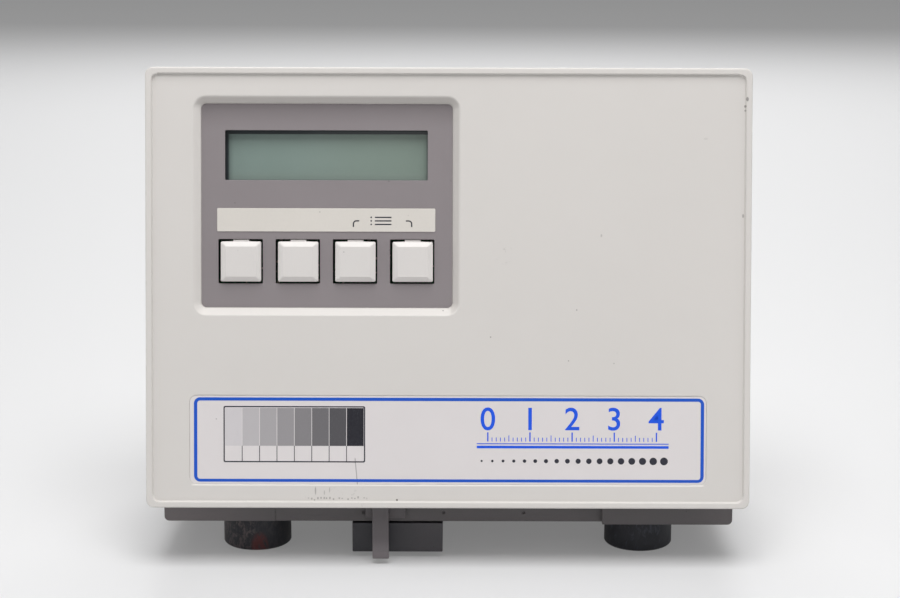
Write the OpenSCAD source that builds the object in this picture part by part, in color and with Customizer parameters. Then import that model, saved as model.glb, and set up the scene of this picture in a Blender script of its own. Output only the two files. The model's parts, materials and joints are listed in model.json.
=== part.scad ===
// Desktop strip-reading photographic densitometer, in millimetres.
// The origin is under the middle of the bounding box, on the surface that the feet stand on.
// +X is the reader's right hand, -Y is the front with the keys, +Z is up.

/* [Housing] */
// Width of the housing
face_w = 196.85; // [190:1:230]
// Height of the front face, measured along it
face_h = 143.1; // [141:1:170]
// Depth of the housing from its bottom front edge to its back
depth = 105; // [100:1:130]
// Backward lean of the front face, in degrees
lean = 10; // [6:0.5:12]
// Thickness of the moulded walls
wall = 2.4; // [2:0.1:3]
// Radius of the long outside edges
corner_r = 2.6; // [2.5:0.1:4]
// Width of the raised rim round the front face
rim_w = 2.3; // [1.8:0.1:3]
// Drop from the rim to the face inside it
rim_drop = 0.9; // [0.5:0.1:1.2]
// Distance from the face back to the seam between the two covers
seam_u = 42; // [38:1:48]
// Width of the shadow line at the seam
seam_gap = 0.4; // [0.2:0.1:0.8]

/* [Control panel] */
// Distance from the housing's left side to the recess
recess_margin = 15.475; // [15:0.025:18]
// Distance from the top of the face down to the recess's middle
recess_drop = 44.9; // [44:0.1:47]
// Width of the recess at the face
recess_width = 86.65; // [84:0.05:88]
// Height of the recess at the face
recess_height = 71.2; // [69:0.1:72]
// Width of the sloped side round the recess
recess_slope = 2.5; // [1.5:0.1:2.6]
// Thickness of the control panel
panel_t = 2.5; // [2:0.1:3]
// How far the panel laps behind the cover
panel_lap = 4.2; // [4:0.1:5]
// Distance of the display and the keys to the left of the recess's middle
controls_shift = 0.175; // [0:0.025:1]

/* [Display] */
// Width of the display window
window_width = 66; // [60:0.5:68]
// Height of the display window
window_height = 16.2; // [14:0.5:18]
// Height of the window's middle above the recess's middle
window_rise = 16.5; // [15:0.1:17]
// Width of the display's circuit board
lcd_board_width = 80; // [78:0.5:82]
// Height of the display's circuit board
lcd_board_height = 34; // [32:0.5:35]
// Width of the display's metal frame
lcd_frame_width = 71.3; // [70:0.1:72]
// Height of the display's metal frame
lcd_frame_height = 24.4; // [22:0.1:25]
// Depth of the display's metal frame
lcd_frame_depth = 3.8; // [3.6:0.1:4.5]
// Thickness of the display glass
lcd_glass_t = 2.8; // [2:0.1:2.9]
// Space round the display board's screws, from the board's edge
lcd_screw_inset = 2.5; // [2.5:0.1:3.2]

/* [Keys] */
// Distance from one key to the next
key_pitch = 18.65; // [17.5:0.05:19]
// Side of the opening for a key
key_opening = 14.45; // [13.5:0.05:14.6]
// Distance of the key row's middle below the recess's middle
keys_drop = 18.075; // [17:0.025:19]
// Gap between a key cap and its opening
key_gap = 0.65; // [0.5:0.05:0.8]
// How far a key stands proud of the panel
key_rise = 1.9; // [1.2:0.1:2.4]
// Width of the sloped edge round a key cap
key_bevel = 1.6; // [1:0.1:2]
// Width of the tongue that a key hangs from
tongue_w = 5.2; // [4:0.1:6]
// Angle that a key turns when it is pressed
key_angle = 4.5; // [3:0.5:4.5]
// Radius of a key's hinge pin
key_pin_r = 0.6; // [0.5:0.05:0.7]
// Side of a key switch
switch_side = 6; // [5:0.1:7]
// Height of a key switch's body
switch_h = 3.5; // [3.3:0.1:5]
// Radius of a switch plunger
plunger_r = 1.75; // [1.2:0.05:2]

/* [Label] */
// Width of the label plate
label_width = 168; // [150:0.5:170]
// Height of the label plate
label_height = 28.6; // [24:0.2:29]
// Height of the label's middle above the bottom edge
label_w = 21.9; // [20:0.1:24]
// Thickness of the label plate
label_t = 0.4; // [0.3:0.05:0.5]

/* [Base and feet] */
// Height of the feet
foot_h = 12.7; // [12:0.1:14]
// Radius of the feet
foot_r = 11.4; // [10:0.1:12]
// Place of a foot, as a share of half the housing's width
foot_spread = 0.6584; // [0.64:0.0001:0.68]
// Set-back of the front feet from the bottom front edge
foot_front_p = 29.1; // [28:0.1:32]
// Distance of the rear feet from the back
foot_rear_p = 29; // [27:0.5:32]
// Height of the base pan
base_h = 8.3; // [8.2:0.1:9.5]
// Set-in of the base pan's sides from the housing's
base_inset = 4.425; // [4:0.025:5.5]
// Set-back of the base pan's front
base_front = 11; // [10:0.1:12]
// Set-back of the base pan's thick right corner
base_corner_front = 8.2; // [7:0.1:9]
// Extra set-back of the track that the strip guide runs along
track_drop = 0.3; // [0.2:0.05:0.5]
// Left end of the track
track_left = -57.3; // [-60:0.1:-55]
// Right end of the track
track_right = 51.1; // [48:0.1:54]
// Thickness of the base pan
pan_t = 2.5; // [2.2:0.1:2.8]
// Spacing of the dimples along the track
dimple_pitch = 26.5; // [20:0.5:28]

/* [Strip guide] */
// Middle of the guide's finger tab at rest
guide_x = -22.1; // [-24:0.1:-20]
// Width of the finger tab
tab_w = 5.4; // [4:0.1:7]
// Thickness of the finger tab
tab_t = 1.6; // [1.2:0.1:2]
// Set-back of the finger tab's front
tab_front = 3.5; // [3:0.1:4]
// Height of the finger tab's lower end above the table
tab_bottom = 1.9; // [1.2:0.1:3]
// Width of the guide's shoe
shoe_w = 13.2; // [12:0.1:15]
// Height of the shoe
shoe_h = 6; // [5:0.1:6.4]

/* [Lamp arm] */
// Middle of the lamp arm
arm_x = -16.7; // [-17.5:0.1:-16]
// Width of the lamp arm
arm_w = 30; // [29:0.5:32]
// Height of the lamp arm
arm_h = 10.1; // [9.9:0.05:10.4]
// Height of the slot that the strip passes through
slot_h = 0.65; // [0.5:0.05:0.8]
// Set-back of the arm's front
arm_front = 11.2; // [11:0.1:13]
// Thickness of the arm's walls
arm_t = 1.6; // [1.4:0.1:1.8]
// Radius of the reading aperture
aperture_r = 2; // [1:0.1:3]

/* [Drive] */
// Radius of the rubber drive rollers
roller_r = 10; // [9.8:0.1:10.2]
// Width of a roller
roller_w = 6; // [5:0.1:7]
// Distance between the two rollers on a shaft
roller_gauge = 17; // [16:0.1:18]
// Radius of the pinch rollers
pinch_r = 3.5; // [3.2:0.1:3.7]
// Thickness of the strip that the rollers grip
strip_t = 0.3; // [0.25:0.05:0.4]
// Share of the spare length in the base that lies in front of the front rollers
drive_share = 0.1353; // [0.05:0.0001:0.3]
// Distance between the two drive shafts
shaft_gap = 50; // [49.5:0.1:50.5]
// Radius of the drive shafts
shaft_r = 2; // [1.8:0.1:2.2]
// Face width of the gears
gear_t = 4; // [3:0.1:5]
// Height of the idlers' axles above the drive shafts
idler_lift = 4; // [3:0.1:5]
// Radius of the motor
motor_r = 12.5; // [11:0.1:12.6]
// Length of the motor
motor_l = 16; // [12:0.5:18]

/* [Optics] */
// Height of the optics block
optics_h = 32; // [28:0.5:34]
// Depth of the optics block, front to back
optics_d = 24; // [20:0.5:26]
// Outer radius of the lens barrel
barrel_r = 5; // [4:0.1:6]
// Radius of the objective lens
lens_r = 3.6; // [2.5:0.1:3.8]

/* [Electronics] */
// Set-in of the main board's sides from the housing's
board_inset = 15.425; // [15:0.025:20]
// Height of the main board above the base pan's floor
board_lift = 41; // [40:0.5:45]
// Thickness of the circuit boards
board_t = 1.6; // [1:0.1:2]
// Distance from the main board's right side to the middle of the data socket
io_inset = 41; // [36:0.5:48]
// Distance from the main board's right side to the middle of the power inlet
power_inset = 19; // [17:0.5:22]
// Number of vent slots in the back
vent_count = 9; // [3:1:12]

/* [Hidden] */
$fn = 48;

// clearances
free_gap = 0.3;    // between pieces that move past each other
fit_gap = 0.1;     // between fixed pieces that slot together
run_gap = 0.05;    // round a shaft in its bore
over = 1;          // how far a cut runs past the face it opens

// housing
half_w = face_w / 2;
base_top = foot_h + base_h;           // the covers stand on the base pan here
skin_u = rim_drop + wall;             // back of the face's wall
inner_r = 0.4;                        // inside corner of the covers
lip_half = half_w - 19.4;             // half the opening in the covers' floor
lip_clear = 3;                        // from the front rollers forward to that opening's edge
lip_share = 0.435;                    // place of its back edge between the rear rollers and the pan's back
seam_step = 1;                        // depth of the shadow line into the wall
rim_slope = 0.35;                     // slope on the inside of the rim
face_corner_r = 2;                    // corner of the dropped face

// screws that join the covers, along the direction square to the face
post_r = 4;
post_inset = wall + post_r - 0.2;     // the posts run into the side and top walls
post_x = half_w - post_inset;
post_ws = [26, face_h - post_inset];
tube_r = 5;
cover_screw_r = 1.45;
cover_screw_l = 20;
cover_screw_seat = seam_u + 10;
cover_pilot_l = 14;
cover_head_r = 2.75;
head_gap = 0.55;                      // round a screw head in its pocket

// screws that join the base pan to the covers
corner_screw_x = half_w - 13.9;
corner_screw_ps = [22, depth - 13];
corner_boss_r = 4;
corner_boss_h = 12;
corner_screw_r = 1.45;
corner_screw_l = 15;
corner_head_r = 2.75;
corner_head_h = 2;
corner_sink = 3.3;                    // depth of the screw heads' pockets in the pan

// control panel
recess_x = recess_margin + recess_width / 2 - half_w;
recess_w = face_h - recess_drop;      // heights up the face are called w
controls_x = recess_x - controls_shift;
window_w = recess_w + window_rise;
keys_w = recess_w - keys_drop;
panel_u = skin_u;                     // front of the control panel; depths behind the face are called u
panel_back = panel_u + panel_t;
panel_width = recess_width - 2 * recess_slope;
panel_height = recess_height - 2 * recess_slope;
recess_corner_r = 1.6;
panel_post_x = panel_width / 2 + panel_lap / 2 + 0.2;
panel_post_w = panel_height / 2 - 6;
panel_post_r = 1.5;
small_screw_r = 0.8;
small_head_r = 1.9;
small_head_h = 1.2;
pilot_gap = 0.05;                     // round a screw's thread in its pilot hole

// display
lcd_front = panel_back + fit_gap;     // front of the metal frame
lcd_lip = 0.5;
lcd_board_u = lcd_front + lcd_frame_depth;
lcd_margin = 0.4;                     // how much more the metal frame opens than the window
lcd_glass_margin = 1.2;               // how far the glass runs behind the metal frame
lcd_post_x = lcd_board_width / 2 - lcd_screw_inset;
lcd_post_w = lcd_board_height / 2 - lcd_screw_inset;
lcd_post_r = 2;

// keys: a key swings about a pin behind the panel's upper edge of its opening
key_count = 4;
key_face_u = panel_u - key_rise;
key_cap_half = key_opening / 2 - key_gap;
key_back_u = panel_back + 0.2;
hinge_u = panel_back + 1.4;
hinge_w = keys_w + key_opening / 2 + 1.45;
tongue_u = panel_u + 0.2;             // front of a key's tongue, just under the panel's surface
tongue_gap = 0.15;                    // from the tongue up to the edge of the opening
pin_l = 1.2;                          // length of a hinge pin beyond the tongue's side
ear_t = 1.7;
nub_u = panel_back + 1.2;             // where a key meets its plunger
nub_r = 1.4;
plunger_arm = 9;                      // from the hinge down to a key's plunger
plunger_w = hinge_w - plunger_arm;
plunger_u = nub_u + free_gap;
plunger_l = 2.9;
plunger_lift = 1.5;                   // how far a plunger stands out of its switch
plunger_travel = plunger_arm * sin(key_angle);
switch_u = plunger_u + plunger_lift;
key_board_u = switch_u + switch_h;
key_board_margin = 13.15;
key_board_w = key_pitch * (key_count - 1) + 2 * key_board_margin;
key_board_h = 22;
key_post_x = key_board_w / 2 - 2.5;
key_post_r = 1.9;
rail_t = 3;
rail_low = 1.6;                       // from the hinge up to the rail's lower edge
rail_high = 4;
rail_end = 6;                         // from the outer tongues to the rail's ends
ear_low = 1.4;

// label
label_gap = 0.2;                      // between the label and the edge of its pocket
label_corner_r = 2.2;

// base pan
foot_rear = depth - foot_rear_p;
pan_back = depth - 3;
pan_corner_r = 1.6;
pan_floor = foot_h + pan_t;
pan_half = half_w - base_inset;
track_front = base_front + track_drop;
pan_wall_back = track_front + pan_t;  // inside of the pan's front wall
guide_slot_z = base_top - 2.8;
guide_slot_h = 1.7;
dimple_first = arm_x - 11.2;
dimple_r = 0.55;
dimple_z = foot_h + 3;

// feet
foot_x = half_w * foot_spread;
foot_round = 0.8;
foot_sink_r = 4.6;
foot_sink = 5;
foot_hole_r = 2.2;
foot_bolt_r = 2;
foot_bolt_head_h = 2.6;
foot_nut_h = 3.2;
foot_nut_r = 4;

// strip guide
shoe_top = base_top - 0.4;
shoe_left = guide_x - shoe_w * 0.386;
shoe_right = shoe_left + shoe_w;
shoe_back = track_front - free_gap;
shoe_front = shoe_back - 2.5;
tongue_inset = 2.2;                   // from the shoe's side to the tongue in the slot
guide_travel_left = shoe_left - track_left - free_gap;
guide_travel_right = track_right - shoe_right - free_gap;
keeper_front = pan_wall_back + free_gap;
keeper_t = 1.8;

// lamp arm
arm_top = foot_h - slot_h;
arm_bottom = arm_top - arm_h;
arm_half = arm_w / 2;
arm_back = depth - arm_front;
arm_floor_t = 1.2;
bracket_t = 3;
bracket_front = depth / 2 + 1.5;
bracket_back = arm_back - 1.8;
bracket_reach = 11;
bracket_flange_t = 2;
bracket_screw_x = arm_x - arm_half - bracket_t - 4.8;
bracket_screw_ps = [bracket_front + 6, bracket_back - 6];

// lamp in the arm
lamp_board_z = arm_bottom + arm_floor_t + 1.3;
lamp_board_half = 9;
lamp_board_reach = 7;
lamp_board_t = board_t * 0.75;
lamp_post_x = 7;
lamp_post_r = 1.6;
led_r = 2.4;
diffuser_t = 1.2;
diffuser_r = 4;

// drive
shaft_z = foot_h - slot_h + strip_t + roller_r;
pinch_z = foot_h - slot_h - pinch_r;
drive_start = keeper_front + keeper_t + free_gap;
drive_end = pan_back - pan_t;
spare_len = drive_end - drive_start - shaft_gap - 2 * roller_r;
shaft_front_p = drive_start + roller_r + spare_len * drive_share;
shaft_ps = [shaft_front_p, shaft_front_p + shaft_gap];
read_p = shaft_front_p + shaft_gap / 2;
lip_front = shaft_ps[0] - roller_r - lip_clear;
lip_back = (shaft_ps[1] + roller_r) * (1 - lip_share) + drive_end * lip_share;
gear_m = shaft_gap / 62.5;            // tooth size (module) that lets the train span the shafts
driven_teeth = 15;
idler_teeth = 20;
pinion_teeth = 12;
function pitch_r(teeth) = teeth * gear_m / 2;
driven_reach = pitch_r(driven_teeth) + pitch_r(idler_teeth);
pinion_reach = pitch_r(idler_teeth) + pitch_r(pinion_teeth);
idler_run = sqrt(driven_reach * driven_reach - idler_lift * idler_lift);
pinion_run = shaft_gap / 2 - idler_run;
pinion_lift = sqrt(pinion_reach * pinion_reach - pinion_run * pinion_run);
idler_ps = [shaft_front_p + idler_run, shaft_front_p + shaft_gap - idler_run];
idler_z = shaft_z + idler_lift;
pinion_z = idler_z + pinion_lift;
frame_t = 2.5;
frame_flange = 8;
frame_flange_t = 2;
frame_right_x = 18;                   // inner side of the right frame plate
frame_left_x = frame_flange + foot_nut_r + 0.8 - foot_x;
frame_reach = 10.5;                   // from a shaft to the end of a frame plate
frame_half = shaft_gap / 2 + frame_reach;
frame_h = 27;
frame_top = pan_floor + frame_h;
frame_screw_inset = 6.5;
notch_clear = 1;                      // from a roller's top to the notch above it
notch_back = 3;
bush_r = 3.5;
gear_x = frame_right_x + frame_t + 0.6;
shaft_end_gap = 1;
collar_r = 3.4;
collar_t = 1.2;
hub_r = 3.6;
idler_axle_r = 1.5;
motor_shaft_r = 1;
motor_boss_r = 3.5;
motor_boss_h = 1.2;
pinch_axle_r = 1;
addendum = gear_m * 0.625;
dedendum = gear_m * 1.125;
tooth_share = 0.38;                   // tooth thickness over the pitch, on the pitch circle
tip_share = 0.22;
root_share = 0.5;

// Angle of a gear's first tooth, so that it meshes with a gear whose first tooth is at `phase`.
// dir is the direction from that gear's axle to this one's.
function meshed(phase, teeth, own_teeth, dir) =
    dir + 180 - 360 / own_teeth * ((phase - dir) * teeth / 360 + 0.5);
rear_idler_dir = atan2(idler_z - pinion_z, idler_ps[1] - read_p);
front_idler_dir = atan2(idler_z - pinion_z, idler_ps[0] - read_p);
rear_driven_dir = atan2(shaft_z - idler_z, shaft_ps[1] - idler_ps[1]);
front_driven_dir = atan2(shaft_z - idler_z, shaft_ps[0] - idler_ps[0]);
pinion_phase = 90;
front_idler_phase = meshed(pinion_phase, pinion_teeth, idler_teeth, front_idler_dir);
rear_idler_phase = meshed(pinion_phase, pinion_teeth, idler_teeth, rear_idler_dir);
front_driven_phase = meshed(front_idler_phase, idler_teeth, driven_teeth, front_driven_dir);
rear_driven_phase = meshed(rear_idler_phase, idler_teeth, driven_teeth, rear_driven_dir);

// optics
optics_top = pan_floor + optics_h;
optics_half = arm_half;
barrel_rise = 10;                     // the barrel starts above the lamp's beam
barrel_l = optics_h - barrel_rise - 2;
barrel_z = pan_floor + barrel_rise;
bore_r = 2.6;                         // bore of the lens barrel
lens_t = 2;
lamp_r = 2.5;
lamp_l = 9;
lamp_angle = 45;
lamp_rise = 11;                       // from the reading point to the lamp, along its beam

// electronics
board_half = half_w - board_inset;
board_z = pan_floor + board_lift;
board_front = 44;
board_back = depth - 5;
board_d = board_back - board_front;
board_top = board_z + board_t;
standoff_x = board_half - 7;
standoff_ps = [board_front + 5, lip_back - 5];
standoff_r = 2.8;
board_screw_r = 1.4;
jack_face = depth - 0.4;              // where the sockets' faces stand in the back wall
io_x = board_half - io_inset;
power_x = board_half - power_inset;
io_w = 15.2;
io_h = 13.3;
io_d = 17;
io_port_w = 11.9;
io_port_h = 6.9;
io_port_d = 13;
io_latch_w = 6;
io_latch_h = 2.2;
power_w = 9;
power_h = 11;
power_d = 14;
power_port_r = 3.2;
power_pin_r = 1;
power_axis_h = power_h - 4.6;
chip_w = 36;
chip_d = 13;
chip_h = 4;
chip_gap = 8;
chip_inset = 25;                      // from the board's left side
chip_x = chip_inset - board_half;
processor_w = 24;
processor_d = 22;
processor_h = 4.2;
processor_inset = 29;                 // from the board's right side
processor_x = board_half - processor_inset - processor_w;
cap_r = 5;
cap_h = 12;
cap_pitch = 14;
cap_inset = 21;
cap_x = cap_inset - board_half;
crystal_w = 11;
crystal_d = 5;
crystal_h = 3.6;
crystal_x = 8;
regulator_w = 18;
regulator_d = 8;
regulator_h = 14;
regulator_x = -34;
vent_w = 2;
vent_h = 16;
vent_pitch = 5.5;
vent_rise = 32;
vent_z = board_z + vent_rise;

// ribbon: it leaves the back of the display board, hangs in a slack bow and drops into its header
ribbon_w = 20;
ribbon_t = 1;
ribbon_steps = 20;
ribbon_lead = 18;                     // how far the bow is drawn straight back
ribbon_fall = 20;                     // how far it is drawn straight down into the header
ribbon_header_h = 9;
header_w = ribbon_w + 4;
header_d = 6;
ribbon_end_p = board_front + 6;
ribbon_start = [lcd_board_u + board_t + 2 * fit_gap, window_w - lcd_board_height / 2 + 5];
function to_bench(q) = [q.x * cos(lean) + q.y * sin(lean), base_top - q.x * sin(lean) + q.y * cos(lean)];
ribbon_a = to_bench(ribbon_start);
ribbon_b = to_bench(ribbon_start + [ribbon_lead, 0]);
ribbon_d = [ribbon_end_p, board_top + ribbon_header_h];
ribbon_c = ribbon_d + [0, ribbon_fall];
function bow(t) = pow(1 - t, 3) * ribbon_a + 3 * pow(1 - t, 2) * t * ribbon_b
    + 3 * (1 - t) * t * t * ribbon_c + pow(t, 3) * ribbon_d;
function bow_side(t) =
    let (d = bow(min(1, t + 0.01)) - bow(max(0, t - 0.01))) [-d.y, d.x] / norm(d) * ribbon_t / 2;

// ---------- frames and primitives ----------

module place() translate([0, -depth / 2, 0]) children();

// Frame of the front face: x across, y square to the face and inwards, z up along the face.
module tilt() place() translate([0, 0, base_top]) rotate([-lean, 0, 0]) children();

module block(low, high) translate(low) cube(high - low);

module rod_x(x0, x1, p, z, r, sides = $fn)
    translate([x0, p, z]) rotate([90, 0, 90]) cylinder(h = x1 - x0, r = r, $fn = sides);

module rod_y(y0, y1, x, z, r) translate([x, y1, z]) rotate([90, 0, 0]) cylinder(h = y1 - y0, r = r);

module rod_z(z0, z1, x, p, r, sides = $fn) translate([x, p, z0]) cylinder(h = z1 - z0, r = r, $fn = sides);

module round_rect(low, high, r) {
    translate([low.x + r, low.y]) square([high.x - low.x - 2 * r, high.y - low.y]);
    translate([low.x, low.y + r]) square([high.x - low.x, high.y - low.y - 2 * r]);
    for (x = [low.x + r, high.x - r], y = [low.y + r, high.y - r])
        translate([x, y]) circle(r);
}

// A plate with rounded corners, from y0 to y1; low and high are [x, z].
module plate(low, high, y0, y1, r)
    translate([0, y1, 0]) rotate([90, 0, 0]) linear_extrude(y1 - y0) round_rect(low, high, r);

// A rounded hole whose sides slope: `grow` wider at y0 than at y1.
module sloped_plate(low, high, y0, y1, r, grow) {
    thin = 0.02;
    hull() {
        plate(low - [grow, grow], high + [grow, grow], y0, y0 + thin, r + grow, $fn = 32);
        plate(low, high, y1 - thin, y1, r, $fn = 32);
    }
}

module mirrored_x() {
    children();
    mirror([1, 0, 0]) children();
}

// ---------- covers ----------

// The housing's outline, drawn in by `inset`, with its face at depth `face_u`.
module housing(inset, face_u, r) intersection() {
    tilt() plate([inset - half_w, -face_h], [half_w - inset, face_h - inset], face_u, 2 * depth, r);
    place() plate([inset - half_w, base_top + inset], [half_w - inset, 2 * face_h],
                  -depth, depth - inset, r);
}

module shell() difference() {
    housing(0, 0, corner_r);
    housing(wall, skin_u, inner_r);
    place() block([-lip_half, lip_front, base_top - over], [lip_half, lip_back, base_top + wall + over]);
}

module ahead_of_seam() tilt() block([-face_w, -depth, -face_h], [face_w, seam_u, 2 * face_h]);

module corner_bosses(ps) place() mirrored_x() for (p = ps)
    rod_z(base_top, base_top + corner_boss_h, corner_screw_x, p, corner_boss_r);

module corner_pilots(ps) place() mirrored_x() for (p = ps)
    rod_z(base_top - over, base_top + corner_boss_h - 1, corner_screw_x, p, corner_screw_r + pilot_gap);

module front_cover() color([0.82, 0.81, 0.79]) difference() {
    union() {
        intersection() {
            shell();
            ahead_of_seam();
        }
        tilt() mirrored_x() for (w = post_ws) rod_y(skin_u - 0.5, seam_u, post_x, w, post_r);
        corner_bosses([corner_screw_ps[0]]);
        tilt() panel_posts(skin_u - 0.5, panel_back, panel_post_r);
    }
    tilt() {
        sloped_plate([rim_w - half_w, rim_w], [half_w - rim_w, face_h - rim_w],
                     0, rim_drop, face_corner_r, rim_slope);
        translate([recess_x, 0, recess_w])
            sloped_plate(-[panel_width, panel_height] / 2, [panel_width, panel_height] / 2,
                         rim_drop - 0.05, skin_u + 0.05, recess_corner_r, recess_slope);
        plate([-label_width / 2 - label_gap, label_w - label_height / 2 - label_gap],
              [label_width / 2 + label_gap, label_w + label_height / 2 + label_gap],
              0, rim_drop + label_t + 0.1, label_corner_r + label_gap);
        mirrored_x() for (w = post_ws)
            rod_y(seam_u - cover_pilot_l, seam_u + over, post_x, w, cover_screw_r + pilot_gap);
        panel_posts(skin_u - 1, panel_back + over, small_screw_r + pilot_gap);
    }
    corner_pilots([corner_screw_ps[0]]);
}

module panel_posts(u0, u1, r) for (sx = [-1, 1], sw = [-1, 1])
    rod_y(u0, u1, recess_x + sx * panel_post_x, recess_w + sw * panel_post_w, r);

module rear_cover() color([0.80, 0.79, 0.77]) difference() {
    union() {
        difference() {
            shell();
            ahead_of_seam();
        }
        intersection() {
            tilt() mirrored_x() for (w = post_ws) rod_y(seam_u, 2 * depth, post_x, w, tube_r);
            housing(wall / 2, skin_u, inner_r);
        }
        corner_bosses([corner_screw_ps[1]]);
    }
    // shadow line along the seam
    difference() {
        tilt() block([-face_w, seam_u - over, -face_h], [face_w, seam_u + seam_gap, 2 * face_h]);
        housing(seam_step, seam_step, inner_r);
    }
    tilt() mirrored_x() for (w = post_ws) {
        rod_y(seam_u - over, cover_screw_seat + over, post_x, w, cover_screw_r + 0.25);
        rod_y(cover_screw_seat, 2 * depth, post_x, w, cover_head_r + head_gap);
    }
    corner_pilots([corner_screw_ps[1]]);
    place() {
        block([io_x - io_w / 2 - fit_gap * 3, depth - wall - over, board_top - fit_gap * 3],
              [io_x + io_w / 2 + fit_gap * 3, depth + over, board_top + io_h + fit_gap * 3]);
        block([power_x - power_w / 2 - fit_gap * 3, depth - wall - over, board_top - fit_gap * 3],
              [power_x + power_w / 2 + fit_gap * 3, depth + over, board_top + power_h + fit_gap * 3]);
        for (i = [0 : vent_count - 1])
            plate([(i - (vent_count - 1) / 2) * vent_pitch - vent_w / 2, vent_z],
                  [(i - (vent_count - 1) / 2) * vent_pitch + vent_w / 2, vent_z + vent_h],
                  depth - wall - over, depth + over, vent_w / 2 - 0.01);
    }
}

module cover_screws() color([0.35, 0.35, 0.37]) tilt() mirrored_x() for (w = post_ws) {
    rod_y(cover_screw_seat - cover_screw_l, cover_screw_seat, post_x, w, cover_screw_r);
    difference() {
        rod_y(cover_screw_seat, cover_screw_seat + 2, post_x, w, cover_head_r);
        driver_cross(post_x, cover_screw_seat + 2, w, cover_head_r);
    }
}

// Cross-shaped recess in a screw head that faces +y.
module driver_cross(x, y, w, r) {
    block([x - r * 0.6, y - 1, w - 0.3], [x + r * 0.6, y + over, w + 0.3]);
    block([x - 0.3, y - 1, w - r * 0.6], [x + 0.3, y + over, w + r * 0.6]);
}

module label_plate() color([0.84, 0.83, 0.83]) tilt()
    plate([-label_width / 2, label_w - label_height / 2], [label_width / 2, label_w + label_height / 2],
          rim_drop + 0.1, rim_drop + 0.1 + label_t, label_corner_r);

// ---------- control panel and display ----------

module control_panel() color([0.54, 0.51, 0.52]) tilt() difference() {
    union() {
        translate([recess_x, 0, recess_w])
            plate(-[panel_width / 2 + panel_lap, panel_height / 2 + panel_lap / 2],
                  [panel_width / 2 + panel_lap, panel_height / 2 + panel_lap / 2],
                  panel_u, panel_back, recess_corner_r);
        lcd_posts(panel_back - 0.5, lcd_board_u, lcd_post_r);
        key_posts(panel_back - 0.5, key_board_u, key_post_r);
    }
    plate([controls_x - window_width / 2, window_w - window_height / 2],
          [controls_x + window_width / 2, window_w + window_height / 2],
          panel_u - over, panel_back + over, 0.4);
    for (i = [1 : key_count])
        plate([key_x(i) - key_opening / 2, keys_w - key_opening / 2],
              [key_x(i) + key_opening / 2, keys_w + key_opening / 2],
              panel_u - over, panel_back + over, 0.3);
    panel_posts(panel_u - over, panel_back + over, panel_post_r + fit_gap);
    lcd_posts(panel_back, lcd_board_u + over, small_screw_r + pilot_gap);
    key_posts(panel_back, key_board_u + over, small_screw_r + pilot_gap);
}

module lcd_posts(u0, u1, r) for (sx = [-1, 1], sw = [-1, 1])
    rod_y(u0, u1, controls_x + sx * lcd_post_x, window_w + sw * lcd_post_w, r);

module key_posts(u0, u1, r) for (sx = [-1, 1])
    rod_y(u0, u1, controls_x + sx * key_post_x, keys_w, r);

module lcd_frame() color([0.22, 0.23, 0.24]) tilt() translate([controls_x, 0, window_w]) difference() {
    plate(-[lcd_frame_width, lcd_frame_height] / 2, [lcd_frame_width, lcd_frame_height] / 2,
          lcd_front, lcd_board_u, 0.8);
    plate(-[window_width / 2 + lcd_margin, window_height / 2 + lcd_margin],
          [window_width / 2 + lcd_margin, window_height / 2 + lcd_margin],
          lcd_front - over, lcd_front + lcd_lip + over, 0.4);
    block(-[window_width / 2 + lcd_glass_margin + fit_gap, -lcd_front - lcd_lip,
            window_height / 2 + lcd_glass_margin + fit_gap],
          [window_width / 2 + lcd_glass_margin + fit_gap, lcd_board_u + over,
           window_height / 2 + lcd_glass_margin + fit_gap]);
}

module lcd_glass() color([0.49, 0.55, 0.51]) tilt() translate([controls_x, 0, window_w])
    block([-window_width / 2 - lcd_glass_margin, lcd_front + lcd_lip, -window_height / 2 - lcd_glass_margin],
          [window_width / 2 + lcd_glass_margin, lcd_front + lcd_lip + lcd_glass_t,
           window_height / 2 + lcd_glass_margin]);

module lcd_board() color([0.10, 0.35, 0.22]) tilt() difference() {
    translate([controls_x, 0, window_w])
        block([-lcd_board_width / 2, lcd_board_u, -lcd_board_height / 2],
              [lcd_board_width / 2, lcd_board_u + board_t, lcd_board_height / 2]);
    lcd_posts(lcd_board_u - over, lcd_board_u + board_t + over, small_screw_r + fit_gap);
}

// Screws that hold the control panel, the display board and the key board.
module panel_screws() color([0.72, 0.72, 0.74]) tilt() {
    panel_posts(panel_back, panel_back + small_head_h, small_head_r);
    panel_posts(panel_back - 3, panel_back, small_screw_r);
    lcd_posts(lcd_board_u + board_t, lcd_board_u + board_t + small_head_h, small_head_r);
    lcd_posts(lcd_board_u - 3, lcd_board_u + board_t, small_screw_r);
    key_posts(key_board_u + board_t, key_board_u + board_t + small_head_h, small_head_r);
    key_posts(key_board_u - 4, key_board_u + board_t, small_screw_r);
}

// ---------- keys ----------

function key_x(i) = controls_x + (i - (key_count + 1) / 2) * key_pitch;

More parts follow.
